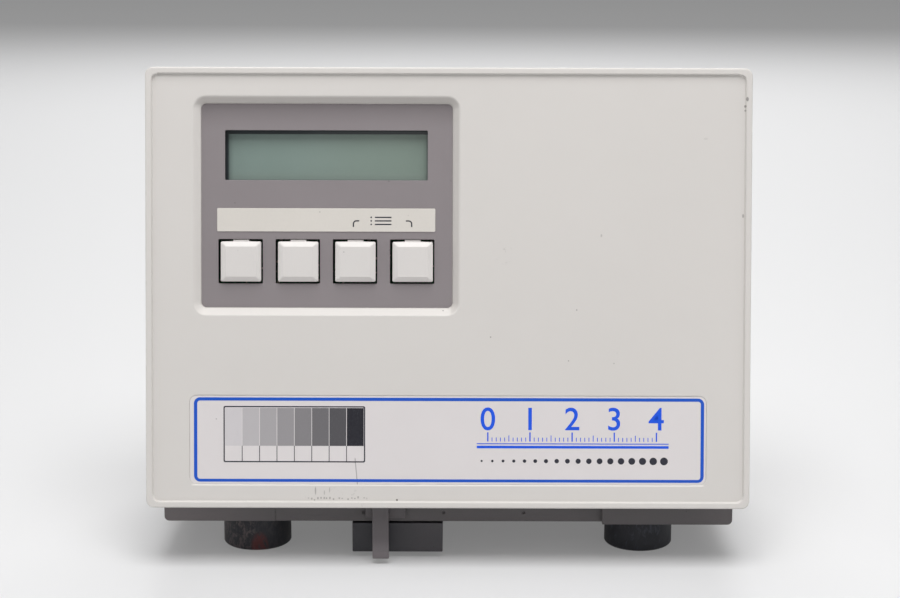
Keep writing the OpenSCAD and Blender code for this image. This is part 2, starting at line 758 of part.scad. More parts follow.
module key(i) color([0.86, 0.85, 0.84]) tilt() translate([key_x(i), 0, 0]) {
    difference() {
        union() {
            hull() {
                plate([-key_cap_half, keys_w - key_cap_half], [key_cap_half, keys_w + key_cap_half],
                      key_face_u + key_bevel * 0.6, key_back_u, 0.5, $fn = 32);
                plate([key_bevel - key_cap_half, keys_w - key_cap_half + key_bevel],
                      [key_cap_half - key_bevel, keys_w + key_cap_half - key_bevel],
                      key_face_u, key_face_u + 0.1, 0.4, $fn = 32);
            }
            // tongue, from the cap up to the hinge pin
            block([-tongue_w / 2, tongue_u, keys_w + key_cap_half - 1],
                  [tongue_w / 2, key_back_u + 1.1, keys_w + key_opening / 2 - tongue_gap]);
            block([-tongue_w / 2, panel_back + free_gap, keys_w + key_cap_half - 1],
                  [tongue_w / 2, hinge_u + key_pin_r, hinge_w]);
            rod_x(-tongue_w / 2, tongue_w / 2, hinge_u, hinge_w, hinge_u - panel_back - free_gap);
            // nub that pushes the switch
            rod_y(key_face_u + 2, nub_u, 0, plunger_w, nub_r);
        }
        // the cap is hollow behind
        difference() {
            block([1.5 - key_cap_half, key_face_u + 1.6, keys_w - key_cap_half + 1.5],
                  [key_cap_half - 1.5, key_back_u + over * 2, keys_w + key_cap_half - 2.2]);
            rod_y(key_face_u, nub_u + 3 * over, 0, plunger_w, nub_r);
        }
    }
    rod_x(-tongue_w / 2 - pin_l, tongue_w / 2 + pin_l, hinge_u, hinge_w, key_pin_r);
}

module key_rail() color([0.30, 0.30, 0.32]) tilt() difference() {
    union() {
        block([key_x(1) - tongue_w / 2 - rail_end, panel_back, hinge_w + rail_low],
              [key_x(key_count) + tongue_w / 2 + rail_end, panel_back + rail_t, hinge_w + rail_high]);
        for (i = [1 : key_count], s = [-1, 1])
            translate([key_x(i) + s * (tongue_w / 2 + free_gap + ear_t / 2), 0, 0])
                block([-ear_t / 2, panel_back, hinge_w - ear_low],
                      [ear_t / 2, panel_back + rail_t, hinge_w + rail_low + 0.1]);
    }
    for (i = [1 : key_count])
        rod_x(key_x(i) - tongue_w, key_x(i) + tongue_w, hinge_u, hinge_w, key_pin_r + run_gap);
}

module key_board() color([0.10, 0.35, 0.22]) tilt() difference() {
    translate([controls_x, 0, keys_w])
        block([-key_board_w / 2, key_board_u, -key_board_h / 2],
              [key_board_w / 2, key_board_u + board_t, key_board_h / 2]);
    key_posts(key_board_u - over, key_board_u + board_t + over, small_screw_r + fit_gap);
}

module switch_bodies() color([0.12, 0.12, 0.13]) tilt() for (i = [1 : key_count]) difference() {
    translate([key_x(i), 0, plunger_w])
        block([-switch_side / 2, switch_u, -switch_side / 2],
              [switch_side / 2, key_board_u, switch_side / 2]);
    rod_y(switch_u - over, switch_u + plunger_l - plunger_lift + plunger_travel + 0.5,
          key_x(i), plunger_w, plunger_r + run_gap);
}

module switch_plunger(i) color([0.75, 0.25, 0.20]) tilt()
    rod_y(plunger_u, plunger_u + plunger_l, key_x(i), plunger_w, plunger_r);

// ---------- base ----------

module base_pan() color([0.36, 0.34, 0.34]) place() difference() {
    union() {
        difference() {
            union() {
                pan_block(-pan_half, pan_half, track_front, pan_back);
                pan_block(-pan_half, track_left, base_front, pan_wall_back);
                pan_block(track_right, pan_half, base_corner_front, pan_wall_back);
            }
            block([pan_t - pan_half, pan_wall_back, pan_floor],
                  [pan_half - pan_t, pan_back - pan_t, base_top + over]);
        }
        mirrored_x() for (p = corner_screw_ps)
            rod_z(foot_h, base_top, corner_screw_x, p, corner_boss_r + 0.8);
    }
    mirrored_x() for (p = corner_screw_ps) {
        rod_z(foot_h - over, base_top + over, corner_screw_x, p, corner_screw_r + 0.25);
        rod_z(foot_h - over, foot_h + corner_sink, corner_screw_x, p, corner_head_r + head_gap);
    }
    // slot that the guide's tongue runs in
    block([track_left + tongue_inset, base_corner_front, guide_slot_z],
          [track_right - tongue_inset, pan_wall_back + over, guide_slot_z + guide_slot_h]);
    for (i = [0 : 2])
        rod_y(track_front - over, track_front + 0.5, dimple_first + i * dimple_pitch, dimple_z, dimple_r);
    // windows for the drive rollers, and the reading aperture
    for (p = shaft_ps, s = [-1, 1])
        translate([arm_x + s * roller_gauge / 2, p, 0])
            block([-roller_w / 2 - 0.5, -roller_r * 0.8, foot_h - over],
                  [roller_w / 2 + 0.5, roller_r * 0.8, pan_floor + over]);
    rod_z(foot_h - over, pan_floor + over, arm_x, read_p, aperture_r + 1);
    for (x = [-foot_x, foot_x], p = [foot_front_p, foot_rear])
        rod_z(foot_h - over, pan_floor + over, x, p, foot_bolt_r + fit_gap);
    small_base_holes(1.5 + fit_gap);
}

module pan_block(x0, x1, p0, p1) intersection() {
    plate([-pan_half, foot_h], [pan_half, base_top + 2 * pan_corner_r], p0, p1, pan_corner_r);
    block([x0, p0, foot_h], [x1, p1, base_top]);
}

// Holes for the screws that hold the roller frames and the lamp arm's bracket.
module small_base_holes(r) {
    for (p = bracket_screw_ps) rod_z(foot_h - over, pan_floor + over, bracket_screw_x, p, r);
    for (x = [frame_screw_x(1), frame_screw_x(-1)], p = frame_screw_ps())
        rod_z(foot_h - over, pan_floor + over, x, p, r);
}

function frame_screw_x(side) =
    side > 0 ? frame_right_x - frame_flange / 2 : frame_left_x - frame_flange / 2;
function frame_screw_ps() =
    [read_p - frame_half + frame_screw_inset, read_p + frame_half - frame_screw_inset];

module foot(x, p) color([0.07, 0.07, 0.08]) place() translate([x, p, 0]) rotate_extrude()
    polygon([[foot_sink_r, 0], [foot_r - foot_round, 0], [foot_r - foot_round * 0.3, foot_round * 0.3],
             [foot_r, foot_round], [foot_r, foot_h], [foot_hole_r, foot_h], [foot_hole_r, foot_sink],
             [foot_sink_r, foot_sink]]);

module foot_bolts() color([0.60, 0.60, 0.62]) place()
    for (x = [-foot_x, foot_x], p = [foot_front_p, foot_rear]) {
        difference() {
            union() {
                rod_z(foot_sink - foot_bolt_head_h, foot_sink, x, p, foot_bolt_r * 1.9);
                rod_z(foot_sink, pan_floor + foot_nut_h + 0.8, x, p, foot_bolt_r);
            }
            block([x - 2.2, p - 0.4, 0], [x + 2.2, p + 0.4, foot_sink - foot_bolt_head_h + 1.2]);
        }
        difference() {
            rod_z(pan_floor, pan_floor + foot_nut_h, x, p, foot_nut_r, 6);
            rod_z(pan_floor - over, pan_floor + foot_nut_h + over, x, p, foot_bolt_r + pilot_gap);
        }
    }

// Screws that go up through the base pan: into the covers, and into the arm's bracket and the frames.
module base_screws() color([0.60, 0.60, 0.62]) place() {
    mirrored_x() for (p = corner_screw_ps) {
        rod_z(foot_h + corner_sink - corner_head_h, foot_h + corner_sink, corner_screw_x, p, corner_head_r);
        rod_z(foot_h + corner_sink, foot_h + corner_sink + corner_screw_l, corner_screw_x, p, corner_screw_r);
    }
    for (p = bracket_screw_ps) {
        rod_z(foot_h - bracket_flange_t - 1.6, foot_h - bracket_flange_t, bracket_screw_x, p, 2.6);
        rod_z(foot_h - bracket_flange_t, pan_floor + 2.4, bracket_screw_x, p, 1.5);
        nut(bracket_screw_x, p, pan_floor);
    }
    for (x = [frame_screw_x(1), frame_screw_x(-1)], p = frame_screw_ps()) {
        rod_z(pan_floor + frame_flange_t, pan_floor + frame_flange_t + 1.8, x, p, 2.6);
        rod_z(foot_h + 0.4, pan_floor + frame_flange_t, x, p, 1.5);
    }
}

module nut(x, p, z) difference() {
    rod_z(z, z + 2.2, x, p, 3.1, 6);
    rod_z(z - over, z + 2.2 + over, x, p, 1.5 + pilot_gap);
}

// ---------- strip guide ----------

module strip_guide() color([0.43, 0.40, 0.41]) place() {
    hull() {
        block([guide_x - tab_w / 2, tab_front, tab_bottom + 2.6],
              [guide_x + tab_w / 2, tab_front + tab_t, shoe_top]);
        block([guide_x - tab_w / 2, tab_front + 0.7, tab_bottom],
              [guide_x + tab_w / 2, tab_front + tab_t + 0.3, tab_bottom + 2.6]);
    }
    block([guide_x - tab_w / 2, tab_front + 0.5, shoe_top - 2.8],
          [guide_x + tab_w / 2, shoe_front + 0.5, shoe_top]);
    block([shoe_left, shoe_front, shoe_top - shoe_h], [shoe_right, shoe_back, shoe_top]);
    block([shoe_left + tongue_inset, shoe_back - 0.5, guide_slot_z + free_gap],
          [shoe_right - tongue_inset, keeper_front, guide_slot_z + guide_slot_h - free_gap]);
}

module guide_keeper() color([0.60, 0.60, 0.62]) place() difference() {
    block([shoe_left, keeper_front, shoe_top - 3.7], [shoe_right, keeper_front + keeper_t, shoe_top]);
    for (s = [-1, 1])
        rod_y(keeper_front + keeper_t - 0.6, keeper_front + keeper_t + over,
              (shoe_left + shoe_right) / 2 + s * 2.6, shoe_top - 1.6, 1);
}

// ---------- lamp arm ----------

module arm_shell() color([0.24, 0.23, 0.25]) place() difference() {
    union() {
        block([arm_x - arm_half, arm_front, arm_bottom], [arm_x + arm_half, arm_back, arm_top]);
        block([arm_x - arm_half - bracket_t, bracket_front, arm_bottom + 2],
              [arm_x - arm_half + 0.5, bracket_back, foot_h]);
        block([arm_x - arm_half - bracket_t - bracket_reach, bracket_front, foot_h - bracket_flange_t],
              [arm_x - arm_half - bracket_t + 0.5, bracket_back, foot_h]);
    }
    block([arm_x - arm_half + arm_t, arm_front + arm_t, arm_bottom - over],
          [arm_x + arm_half - arm_t, arm_back - arm_t, arm_top - arm_t]);
    // the strip slot runs on between the bracket and the arm's top
    block([arm_x - arm_half, bracket_front - over, arm_top],
          [arm_x + arm_half, bracket_back + over, foot_h + over]);
    for (p = shaft_ps, s = [-1, 1])
        translate([arm_x + s * roller_gauge / 2, p, 0])
            block([-roller_w / 2 - 0.5, -pinch_r - 0.5, arm_top - arm_t - over],
                  [roller_w / 2 + 0.5, pinch_r + 0.5, arm_top + over]);
    for (p = shaft_ps)
        rod_x(arm_x - arm_half + 0.6, arm_x + arm_half - 0.6, p, pinch_z, pinch_axle_r + run_gap);
    rod_z(arm_top - arm_t - over, arm_top + over, arm_x, read_p, aperture_r);
    for (p = bracket_screw_ps)
        rod_z(foot_h - bracket_flange_t - over, foot_h + over, bracket_screw_x, p, 1.5 + fit_gap);
}

module arm_cover() color([0.24, 0.23, 0.25]) place() {
    block([arm_x - arm_half + arm_t + fit_gap, arm_front + arm_t + fit_gap, arm_bottom],
          [arm_x + arm_half - arm_t - fit_gap, arm_back - arm_t - fit_gap, arm_bottom + arm_floor_t]);
    for (s = [-1, 1])
        rod_z(arm_bottom + arm_floor_t - 0.2, lamp_board_z, arm_x + s * lamp_post_x, read_p, lamp_post_r);
}

module arm_lamp_board() color([0.10, 0.35, 0.22]) place() {
    block([arm_x - lamp_board_half, read_p - lamp_board_reach, lamp_board_z],
          [arm_x + lamp_board_half, read_p + lamp_board_reach, lamp_board_z + lamp_board_t]);
    rod_z(lamp_board_z + lamp_board_t - 0.1, arm_top - arm_t - diffuser_t - 0.2, arm_x, read_p, led_r);
}

module arm_diffuser() color([0.93, 0.93, 0.90]) place() difference() {
    rod_z(arm_top - arm_t - diffuser_t, arm_top - arm_t, arm_x, read_p, diffuser_r);
    rod_z(arm_top - arm_t - diffuser_t - over, arm_top - arm_t - diffuser_t * 0.75,
          arm_x, read_p, led_r + 0.2);
}

// ---------- drive ----------

module pinch_roller(p) color([0.55, 0.55, 0.57]) place() {
    rod_x(arm_x - arm_half + 0.9, arm_x + arm_half - 0.9, p, pinch_z, pinch_axle_r);
    for (s = [-1, 1])
        rod_x(arm_x + s * roller_gauge / 2 - roller_w / 2, arm_x + s * roller_gauge / 2 + roller_w / 2,
              p, pinch_z, pinch_r);
}

module frame_plate(x, flange_x) difference() {
    union() {
        block([x, read_p - frame_half, pan_floor], [x + frame_t, read_p + frame_half, frame_top]);
        block([min(flange_x, x), read_p - frame_half, pan_floor],
              [max(flange_x + frame_flange, x + frame_t), read_p + frame_half, pan_floor + frame_flange_t]);
    }
    for (p = shaft_ps) {
        rod_x(x - over, x + frame_t + over, p, shaft_z, bush_r);
        block([x - over, p - roller_r * 0.8 - notch_back, shaft_z + roller_r + notch_clear],
              [x + frame_t + over, p + notch_back, frame_top + over]);
    }
    for (p = frame_screw_ps())
        rod_z(pan_floor - over, pan_floor + frame_flange_t + over,
              flange_x + frame_flange / 2, p, 1.5 + fit_gap);
}

module roller_frame_left() color([0.66, 0.67, 0.69]) place()
    frame_plate(frame_left_x, frame_left_x - frame_flange);

module roller_frame_right() color([0.66, 0.67, 0.69]) place() difference() {
    frame_plate(frame_right_x, frame_right_x - frame_flange);
    rod_x(frame_right_x - over, frame_right_x + frame_t + over, read_p, pinion_z, motor_boss_r + fit_gap);
    for (p = idler_ps)
        rod_x(frame_right_x - over, frame_right_x + frame_t + over, p, idler_z, idler_axle_r);
}

module shaft_bushes() color([0.78, 0.62, 0.32]) place()
    for (x = [frame_left_x, frame_right_x], p = shaft_ps) difference() {
        rod_x(x, x + frame_t, p, shaft_z, bush_r);
        rod_x(x - over, x + frame_t + over, p, shaft_z, shaft_r + run_gap);
    }

module drive_shaft(p) color([0.72, 0.73, 0.75]) place() {
    rod_x(frame_left_x - shaft_end_gap, gear_x + gear_t + shaft_end_gap, p, shaft_z, shaft_r);
    // collars just inside the frames hold the shaft endways
    for (x = [frame_left_x + frame_t + free_gap, frame_right_x - free_gap - collar_t])
        rod_x(x, x + collar_t, p, shaft_z, collar_r);
}

module drive_rollers(p) color([0.10, 0.10, 0.11]) place() for (s = [-1, 1]) difference() {
    union() {
        rod_x(arm_x + s * roller_gauge / 2 - roller_w / 2, arm_x + s * roller_gauge / 2 + roller_w / 2,
              p, shaft_z, roller_r);
        rod_x(arm_x + s * roller_gauge / 2 - roller_w / 2 - 1,
              arm_x + s * roller_gauge / 2 + roller_w / 2 + 1, p, shaft_z, hub_r);
    }
    rod_x(-half_w, half_w, p, shaft_z, shaft_r);
}

// Outline of a gear with straight-sided teeth, the first of them at `phase` degrees.
module gear_outline(teeth, phase) polygon([
    for (i = [0 : teeth - 1], q = [[-root_share, -dedendum], [-tip_share, addendum],
                                   [tip_share, addendum], [root_share, -dedendum]])
        let (a = phase + (i + q[0] * 0.5) * 360 / teeth, r = pitch_r(teeth) + q[1]) [r * cos(a), r * sin(a)]
]);

module gear(teeth, phase, p, z, bore) translate([gear_x, p, z]) rotate([90, 0, 90])
    linear_extrude(gear_t) difference() {
        gear_outline(teeth, phase);
        circle(bore);
    }

module front_drive_gear() color([0.90, 0.88, 0.80]) place()
    gear(driven_teeth, front_driven_phase, shaft_ps[0], shaft_z, shaft_r);

module rear_drive_gear() color([0.90, 0.88, 0.80]) place()
    gear(driven_teeth, rear_driven_phase, shaft_ps[1], shaft_z, shaft_r);

module front_idler_gear() color([0.90, 0.88, 0.80]) place()
    gear(idler_teeth, front_idler_phase, idler_ps[0], idler_z, idler_axle_r + run_gap);

module rear_idler_gear() color([0.90, 0.88, 0.80]) place()
    gear(idler_teeth, rear_idler_phase, idler_ps[1], idler_z, idler_axle_r + run_gap);

module idler_axles() color([0.72, 0.73, 0.75]) place() for (p = idler_ps) {
    rod_x(frame_right_x, gear_x + gear_t + free_gap, p, idler_z, idler_axle_r);
    rod_x(gear_x + gear_t + free_gap, gear_x + gear_t + free_gap + 0.8, p, idler_z, idler_axle_r + 1.2);
}

module drive_motor() color([0.62, 0.63, 0.65]) place() difference() {
    union() {
        rod_x(frame_right_x - motor_l, frame_right_x, read_p, pinion_z, motor_r);
        rod_x(frame_right_x - motor_l - 1.2, frame_right_x - motor_l + 0.1, read_p, pinion_z, motor_r * 0.6);
        rod_x(frame_right_x - 0.1, frame_right_x + motor_boss_h, read_p, pinion_z, motor_boss_r);
    }
    rod_x(frame_right_x - motor_l * 0.6, frame_right_x + 2 * motor_boss_h, read_p, pinion_z,
          motor_shaft_r + run_gap);
}

module motor_pinion() color([0.80, 0.70, 0.45]) place() {
    gear(pinion_teeth, pinion_phase, read_p, pinion_z, motor_shaft_r * 0.5);
    rod_x(frame_right_x - motor_l * 0.6 + 0.5, gear_x + gear_t + 0.5, read_p, pinion_z, motor_shaft_r);
}

// ---------- optics ----------

module optics_block() color([0.14, 0.14, 0.15]) place() difference() {
    block([arm_x - optics_half, read_p - optics_d / 2, pan_floor],
          [arm_x + optics_half, read_p + optics_d / 2, optics_top]);
    rod_z(pan_floor - over, barrel_z, arm_x, read_p, aperture_r + 1);
    rod_z(barrel_z, optics_top + over, arm_x, read_p, barrel_r);
    lamp_bore(4, lamp_rise + lamp_l + 12, lamp_r + fit_gap);
}

// A rod along the reflection lamp's beam, from `from` to `to` millimetres above the reading point.
module lamp_bore(from, to, r) translate([arm_x, read_p, pan_floor]) rotate([0, -lamp_angle, 0])
    translate([0, 0, from]) cylinder(h = to - from, r = r);

module lens_barrel() color([0.80, 0.68, 0.40]) place() difference() {
    rod_z(barrel_z, barrel_z + barrel_l, arm_x, read_p, barrel_r);
    rod_z(barrel_z - over, barrel_z + barrel_l + over, arm_x, read_p, bore_r);
    rod_z(barrel_z + barrel_l / 2, barrel_z + barrel_l + over, arm_x, read_p, lens_r);
}

module objective_lens() color([0.80, 0.88, 0.92]) place()
    rod_z(barrel_z + barrel_l / 2, barrel_z + barrel_l / 2 + lens_t, arm_x, read_p, lens_r);

module detector_board() color([0.10, 0.35, 0.22]) place() {
    block([arm_x - optics_half + 1, read_p - optics_d / 2 + 1, optics_top],
          [arm_x + optics_half - 1, read_p + optics_d / 2 - 1, optics_top + board_t]);
    rod_z(optics_top - 1.2, optics_top + 0.1, arm_x, read_p, lens_r - 0.4);
}

module reflection_lamp() color([0.90, 0.90, 0.85]) place() {
    lamp_bore(lamp_rise, lamp_rise + lamp_l, lamp_r);
    lamp_bore(lamp_rise + lamp_l - 0.1, lamp_rise + lamp_l + 3, 0.5);
}

// ---------- electronics ----------

module standoff_spots() for (x = [-standoff_x, standoff_x], p = standoff_ps) translate([x, p, 0]) children();

module main_board() color([0.10, 0.35, 0.22]) place() difference() {
    block([-board_half, board_front, board_z], [board_half, board_back, board_top]);
    standoff_spots() rod_z(board_z - over, board_top + over, 0, 0, board_screw_r + fit_gap);
}

// Distance of a row of parts from the front, at a share of the board's depth.
function board_row(share) = board_front + board_d * share;

// A part with its left end at x, in the row at that share of the board's depth.
module board_block(x, share, w, d, h)
    translate([x, board_row(share) - d / 2, board_top]) cube([w, d, h]);

// Chips, capacitors, the clock crystal, the regulator and the ribbon's header.
module board_parts() color([0.13, 0.13, 0.14]) place() {
    for (i = [0, 1]) board_block(chip_x + i * (chip_w + chip_gap), 0.4, chip_w, chip_d, chip_h);
    board_block(processor_x, 0.375, processor_w, processor_d, processor_h);
    for (i = [0, 1]) rod_z(board_top, board_top + cap_h, cap_x + i * cap_pitch, board_row(0.785), cap_r);
    board_block(crystal_x, 0.72, crystal_w, crystal_d, crystal_h);
    board_block(regulator_x, 0.785, regulator_w, regulator_d, regulator_h);
    block([controls_x - header_w / 2, ribbon_end_p - header_d / 2, board_top],
          [controls_x + header_w / 2, ribbon_end_p + header_d / 2, board_top + ribbon_header_h]);
}

module board_standoffs() color([0.80, 0.68, 0.40]) place() standoff_spots() {
    difference() {
        rod_z(pan_floor, board_z, 0, 0, standoff_r, 6);
        rod_z(board_z - 8, board_z + over, 0, 0, board_screw_r + pilot_gap);
    }
    rod_z(board_z - 5, board_top, 0, 0, board_screw_r);
    rod_z(board_top, board_top + 1.8, 0, 0, 2.6);
}

module ribbon_cable() color([0.62, 0.63, 0.66]) place()
    translate([controls_x - ribbon_w / 2, 0, 0]) rotate([90, 0, 90]) linear_extrude(ribbon_w) polygon(concat(
        [for (i = [0 : ribbon_steps]) bow(i / ribbon_steps) + bow_side(i / ribbon_steps)],
        [for (i = [ribbon_steps : -1 : 0]) bow(i / ribbon_steps) - bow_side(i / ribbon_steps)]));

module io_jack() color([0.10, 0.10, 0.11]) place() translate([io_x, jack_face, board_top]) difference() {
    block([-io_w / 2, -io_d, 0], [io_w / 2, 0, io_h]);
    block([-io_port_w / 2, -io_port_d, io_h - 2 - io_port_h], [io_port_w / 2, over, io_h - 2]);
    block([-io_latch_w / 2, -io_port_d, io_h - 2 - io_port_h - io_latch_h], [io_latch_w / 2, over, io_h / 2]);
}

module power_jack() color([0.10, 0.10, 0.11]) place() translate([power_x, jack_face, board_top]) {
    difference() {
        block([-power_w / 2, -power_d, 0], [power_w / 2, 0, power_h]);
        rod_y(-power_d + 3, over, 0, power_axis_h, power_port_r);
    }
    rod_y(-power_d + 2, -1, 0, power_axis_h, power_pin_r);
}

// ---------- assembly ----------

front_cover();
rear_cover();
label_plate();
control_panel();
lcd_frame();
lcd_glass();
lcd_board();
key(1);  // key_1
key(2);  // key_2
key(3);  // key_3
key(4);  // key_4
key_rail();
key_board();
switch_bodies();
switch_plunger(1);  // switch_plunger_1
switch_plunger(2);  // switch_plunger_2
switch_plunger(3);  // switch_plunger_3
switch_plunger(4);  // switch_plunger_4
panel_screws();
base_pan();
foot(-foot_x, foot_front_p);  // foot_front_left
foot(foot_x, foot_front_p);  // foot_front_right
foot(-foot_x, foot_rear);  // foot_rear_left
foot(foot_x, foot_rear);  // foot_rear_right
foot_bolts();
base_screws();
cover_screws();
strip_guide();
guide_keeper();
arm_shell();
arm_cover();
arm_diffuser();
arm_lamp_board();
pinch_roller(shaft_ps[0]);  // front_pinch_roller
pinch_roller(shaft_ps[1]);  // rear_pinch_roller
roller_frame_left();
roller_frame_right();
shaft_bushes();
drive_shaft(shaft_ps[0]);  // front_drive_shaft
drive_rollers(shaft_ps[0]);  // front_drive_rollers
front_drive_gear();
drive_shaft(shaft_ps[1]);  // rear_drive_shaft
drive_rollers(shaft_ps[1]);  // rear_drive_rollers
rear_drive_gear();
idler_axles();
front_idler_gear();
rear_idler_gear();
drive_motor();
motor_pinion();
optics_block();
lens_barrel();
objective_lens();
detector_board();
reflection_lamp();
main_board();
board_parts();
board_standoffs();
ribbon_cable();
io_jack();
power_jack();
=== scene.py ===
"""Looks of the desktop strip-reading densitometer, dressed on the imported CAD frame. Units are metres.

Sizes and places are named in millimetres. A place on the leaning face is (x, u, w): x across, u behind the
face and w up it. An area on the face is (left, low, right, high).
"""

import json
import math

import bmesh
import bpy
from mathutils import Matrix, Vector

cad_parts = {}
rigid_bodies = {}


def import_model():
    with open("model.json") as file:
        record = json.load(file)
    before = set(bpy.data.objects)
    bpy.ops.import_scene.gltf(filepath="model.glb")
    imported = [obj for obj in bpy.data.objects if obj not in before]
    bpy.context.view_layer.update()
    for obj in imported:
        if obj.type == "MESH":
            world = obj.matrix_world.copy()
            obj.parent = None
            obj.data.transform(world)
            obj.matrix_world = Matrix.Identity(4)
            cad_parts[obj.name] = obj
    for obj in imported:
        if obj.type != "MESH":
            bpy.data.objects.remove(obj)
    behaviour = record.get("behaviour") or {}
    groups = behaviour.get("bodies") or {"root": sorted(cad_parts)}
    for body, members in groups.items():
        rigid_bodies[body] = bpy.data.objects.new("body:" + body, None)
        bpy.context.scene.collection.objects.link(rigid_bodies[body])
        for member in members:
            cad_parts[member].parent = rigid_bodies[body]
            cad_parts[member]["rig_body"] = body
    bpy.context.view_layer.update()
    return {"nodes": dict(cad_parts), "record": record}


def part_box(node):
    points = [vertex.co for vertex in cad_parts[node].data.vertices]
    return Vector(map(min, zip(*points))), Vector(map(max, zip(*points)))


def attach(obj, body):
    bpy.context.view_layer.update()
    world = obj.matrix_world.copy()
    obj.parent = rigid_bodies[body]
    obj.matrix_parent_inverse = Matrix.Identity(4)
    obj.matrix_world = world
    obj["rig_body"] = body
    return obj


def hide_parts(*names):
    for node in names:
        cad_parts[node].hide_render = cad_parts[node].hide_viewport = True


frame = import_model()

# ---------------------------------------------------------------- sizes and places

MM = 0.001
LEAN = math.radians(10.0)
FACE_Y, FACE_Z = -52.5, 21.0  # the face's lower front edge in the row frame
FACE = (
    Matrix.Translation((0.0, FACE_Y * MM, FACE_Z * MM))
    @ Matrix.Rotation(-LEAN, 4, "X")
    @ Matrix.Scale(MM, 4)
)
ONTO_FACE = FACE.inverted()

COVER_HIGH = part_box("front_cover")[1] / MM
HALF_W = COVER_HIGH.x
FACE_H = (COVER_HIGH.z - FACE_Z) / math.cos(LEAN)
PAN_LOW, PAN_HIGH = (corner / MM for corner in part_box("base_pan"))
REAR_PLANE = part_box("rear_cover")[1].y / MM
FRONT_HALF = (-20.0, -24.0)  # Y over which the front's own marks fade in

# the solids' edges are found by the area and the depths that they lie in
FRONT_U = 0.02
DROPPED_U = (0.8, 0.95)
RECESS = (-84.0, 61.0, 5.0, 136.0)
POCKET = (-85.0, 6.0, 85.0, 38.0)
PANEL_OPENINGS = (-77.8, 68.0, -1.8, 128.0)
PANEL_U = (3.2, 3.4)
NEAR_EDGE = 1.2  # what lies this near to the housing's outline belongs to it

RECESS_U = (0.95, 1.6)  # depths over which the recess's slopes begin
PANEL_DARK_U, KEY_DARK_U = 3.45, 3.65  # past these depths the panel's and the keys' plastic is painted black, as shade in the gaps between them
WINDOW = (-72.8, 106.6, -6.8, 122.8)
OPENING_TOP = 87.35  # upper edge of the openings for the keys
LABEL_MIDDLE_W = 21.9
POCKET_FOOT = 7.4  # lower edge of the label's pocket
RIBBON_LEFT, CORE_PITCH = -49.8, 1.27

# prints: their depths, and their places on the face
PRINT_U = (0.98, 1.02)
LEGEND_PRINT_U = (3.08, 3.12)
LEGEND_U = (3.1, 3.32)
LEGEND = (-75.4, 89.85, -4.3, 97.45)
BRACKET_LEFT, BRACKET_RIGHT, BRACKET_W = -31.0, -12.0, 93.4
LIST_DOT_X, LIST_LEFT, LIST_RIGHT = -25.2, -24.0, -18.6
LIST_TOP, LIST_PITCH = 94.55, 1.15
OUTLINE_OUTER = (-82.85, 8.2, 83.5, 35.8)
OUTLINE_INNER = (-81.75, 9.15, 82.4, 34.75)
RULES = ((9.4, 19.35, 72.0, 20.2), (9.4, 20.7, 72.0, 21.0))
SCALE_ZERO, NUMERAL_PITCH, TOP_NUMERAL = 13.0, 13.75, 4
TICKS = 10  # from numeral to numeral
TICK_FOOT = 21.6
LONG_TOP, MIDDLE_TOP, SHORT_TOP = 24.6, 23.6, 22.9  # upper ends of the ticks
NUMERAL_W, NUMERAL_SIZE = 25.4, 10.5
WEDGE = (-72.8, 15.0, -27.4, 32.6)
WEDGE_FOOT = 20.0  # the steps stand on this height, over their dividers
WEDGE_STEPS = 8
WEDGE_PITCH = (WEDGE[2] - WEDGE[0]) / WEDGE_STEPS
DOTS, DOT_LEFT, DOT_PITCH, DOT_W = 18, 11.0, 3.5, 15.2

# marks of use, and painted shade on the recess's slopes
SLOPE_RIGHT, SLOPE_TOP = 0.8, 131.0  # feet of the recess's right and upper slopes, which are painted darker as shade
SCUFFS = (-45.5, 2.0, -26.5, 3.4)
SMEAR_X, SMEAR_W, SMEAR_R = 17.9, 82.9, 3.4
SCRATCH_X, SCRATCH_TOP = -30.3, 16.0  # upper end of the hairline on the label

# Small marks on the face: across, up, radius, how drawn out, and how dark.
FACE_MARKS = (
    (-16.6, 2.35, 0.42, 1.0, 0.85),
    (13.8, 55.7, 0.30, 1.0, 0.55),
    (41.8, 64.6, 0.28, 1.4, 0.40),
    (39.2, 48.0, 0.28, 1.0, 0.45),
    (54.0, 47.2, 0.30, 1.0, 0.30),
    (49.7, 88.8, 0.35, 1.8, 0.28),
    (95.7, 95.3, 0.40, 2.0, 0.45),
    (96.7, 133.1, 0.55, 1.6, 0.60),
    (96.1, 130.8, 0.45, 1.2, 0.60),
    (96.1, 129.4, 0.35, 1.2, 0.50),
    (83.4, 120.3, 0.90, 0.5, 0.10),
    (-1.7, 64.2, 0.35, 0.6, 0.60),
    (-43.2, 5.3, 0.30, 5.5, 0.40),
    (-40.3, 4.7, 0.24, 4.0, 0.30),
    (-38.6, 5.6, 0.24, 4.5, 0.30),
)

# ---------------------------------------------------------------- colours and shader nodes


def srgb(r, g, b):
    """A colour written in 0 to 255 sRGB, as the linear values that shaders take."""
    def linear(v):
        v /= 255.0
        return v / 12.92 if v <= 0.04045 else ((v + 0.055) / 1.055) ** 2.4

    return (linear(r), linear(g), linear(b), 1.0)


def shade(colour, factor):
    return tuple(c * factor for c in colour[:3]) + (1.0,)


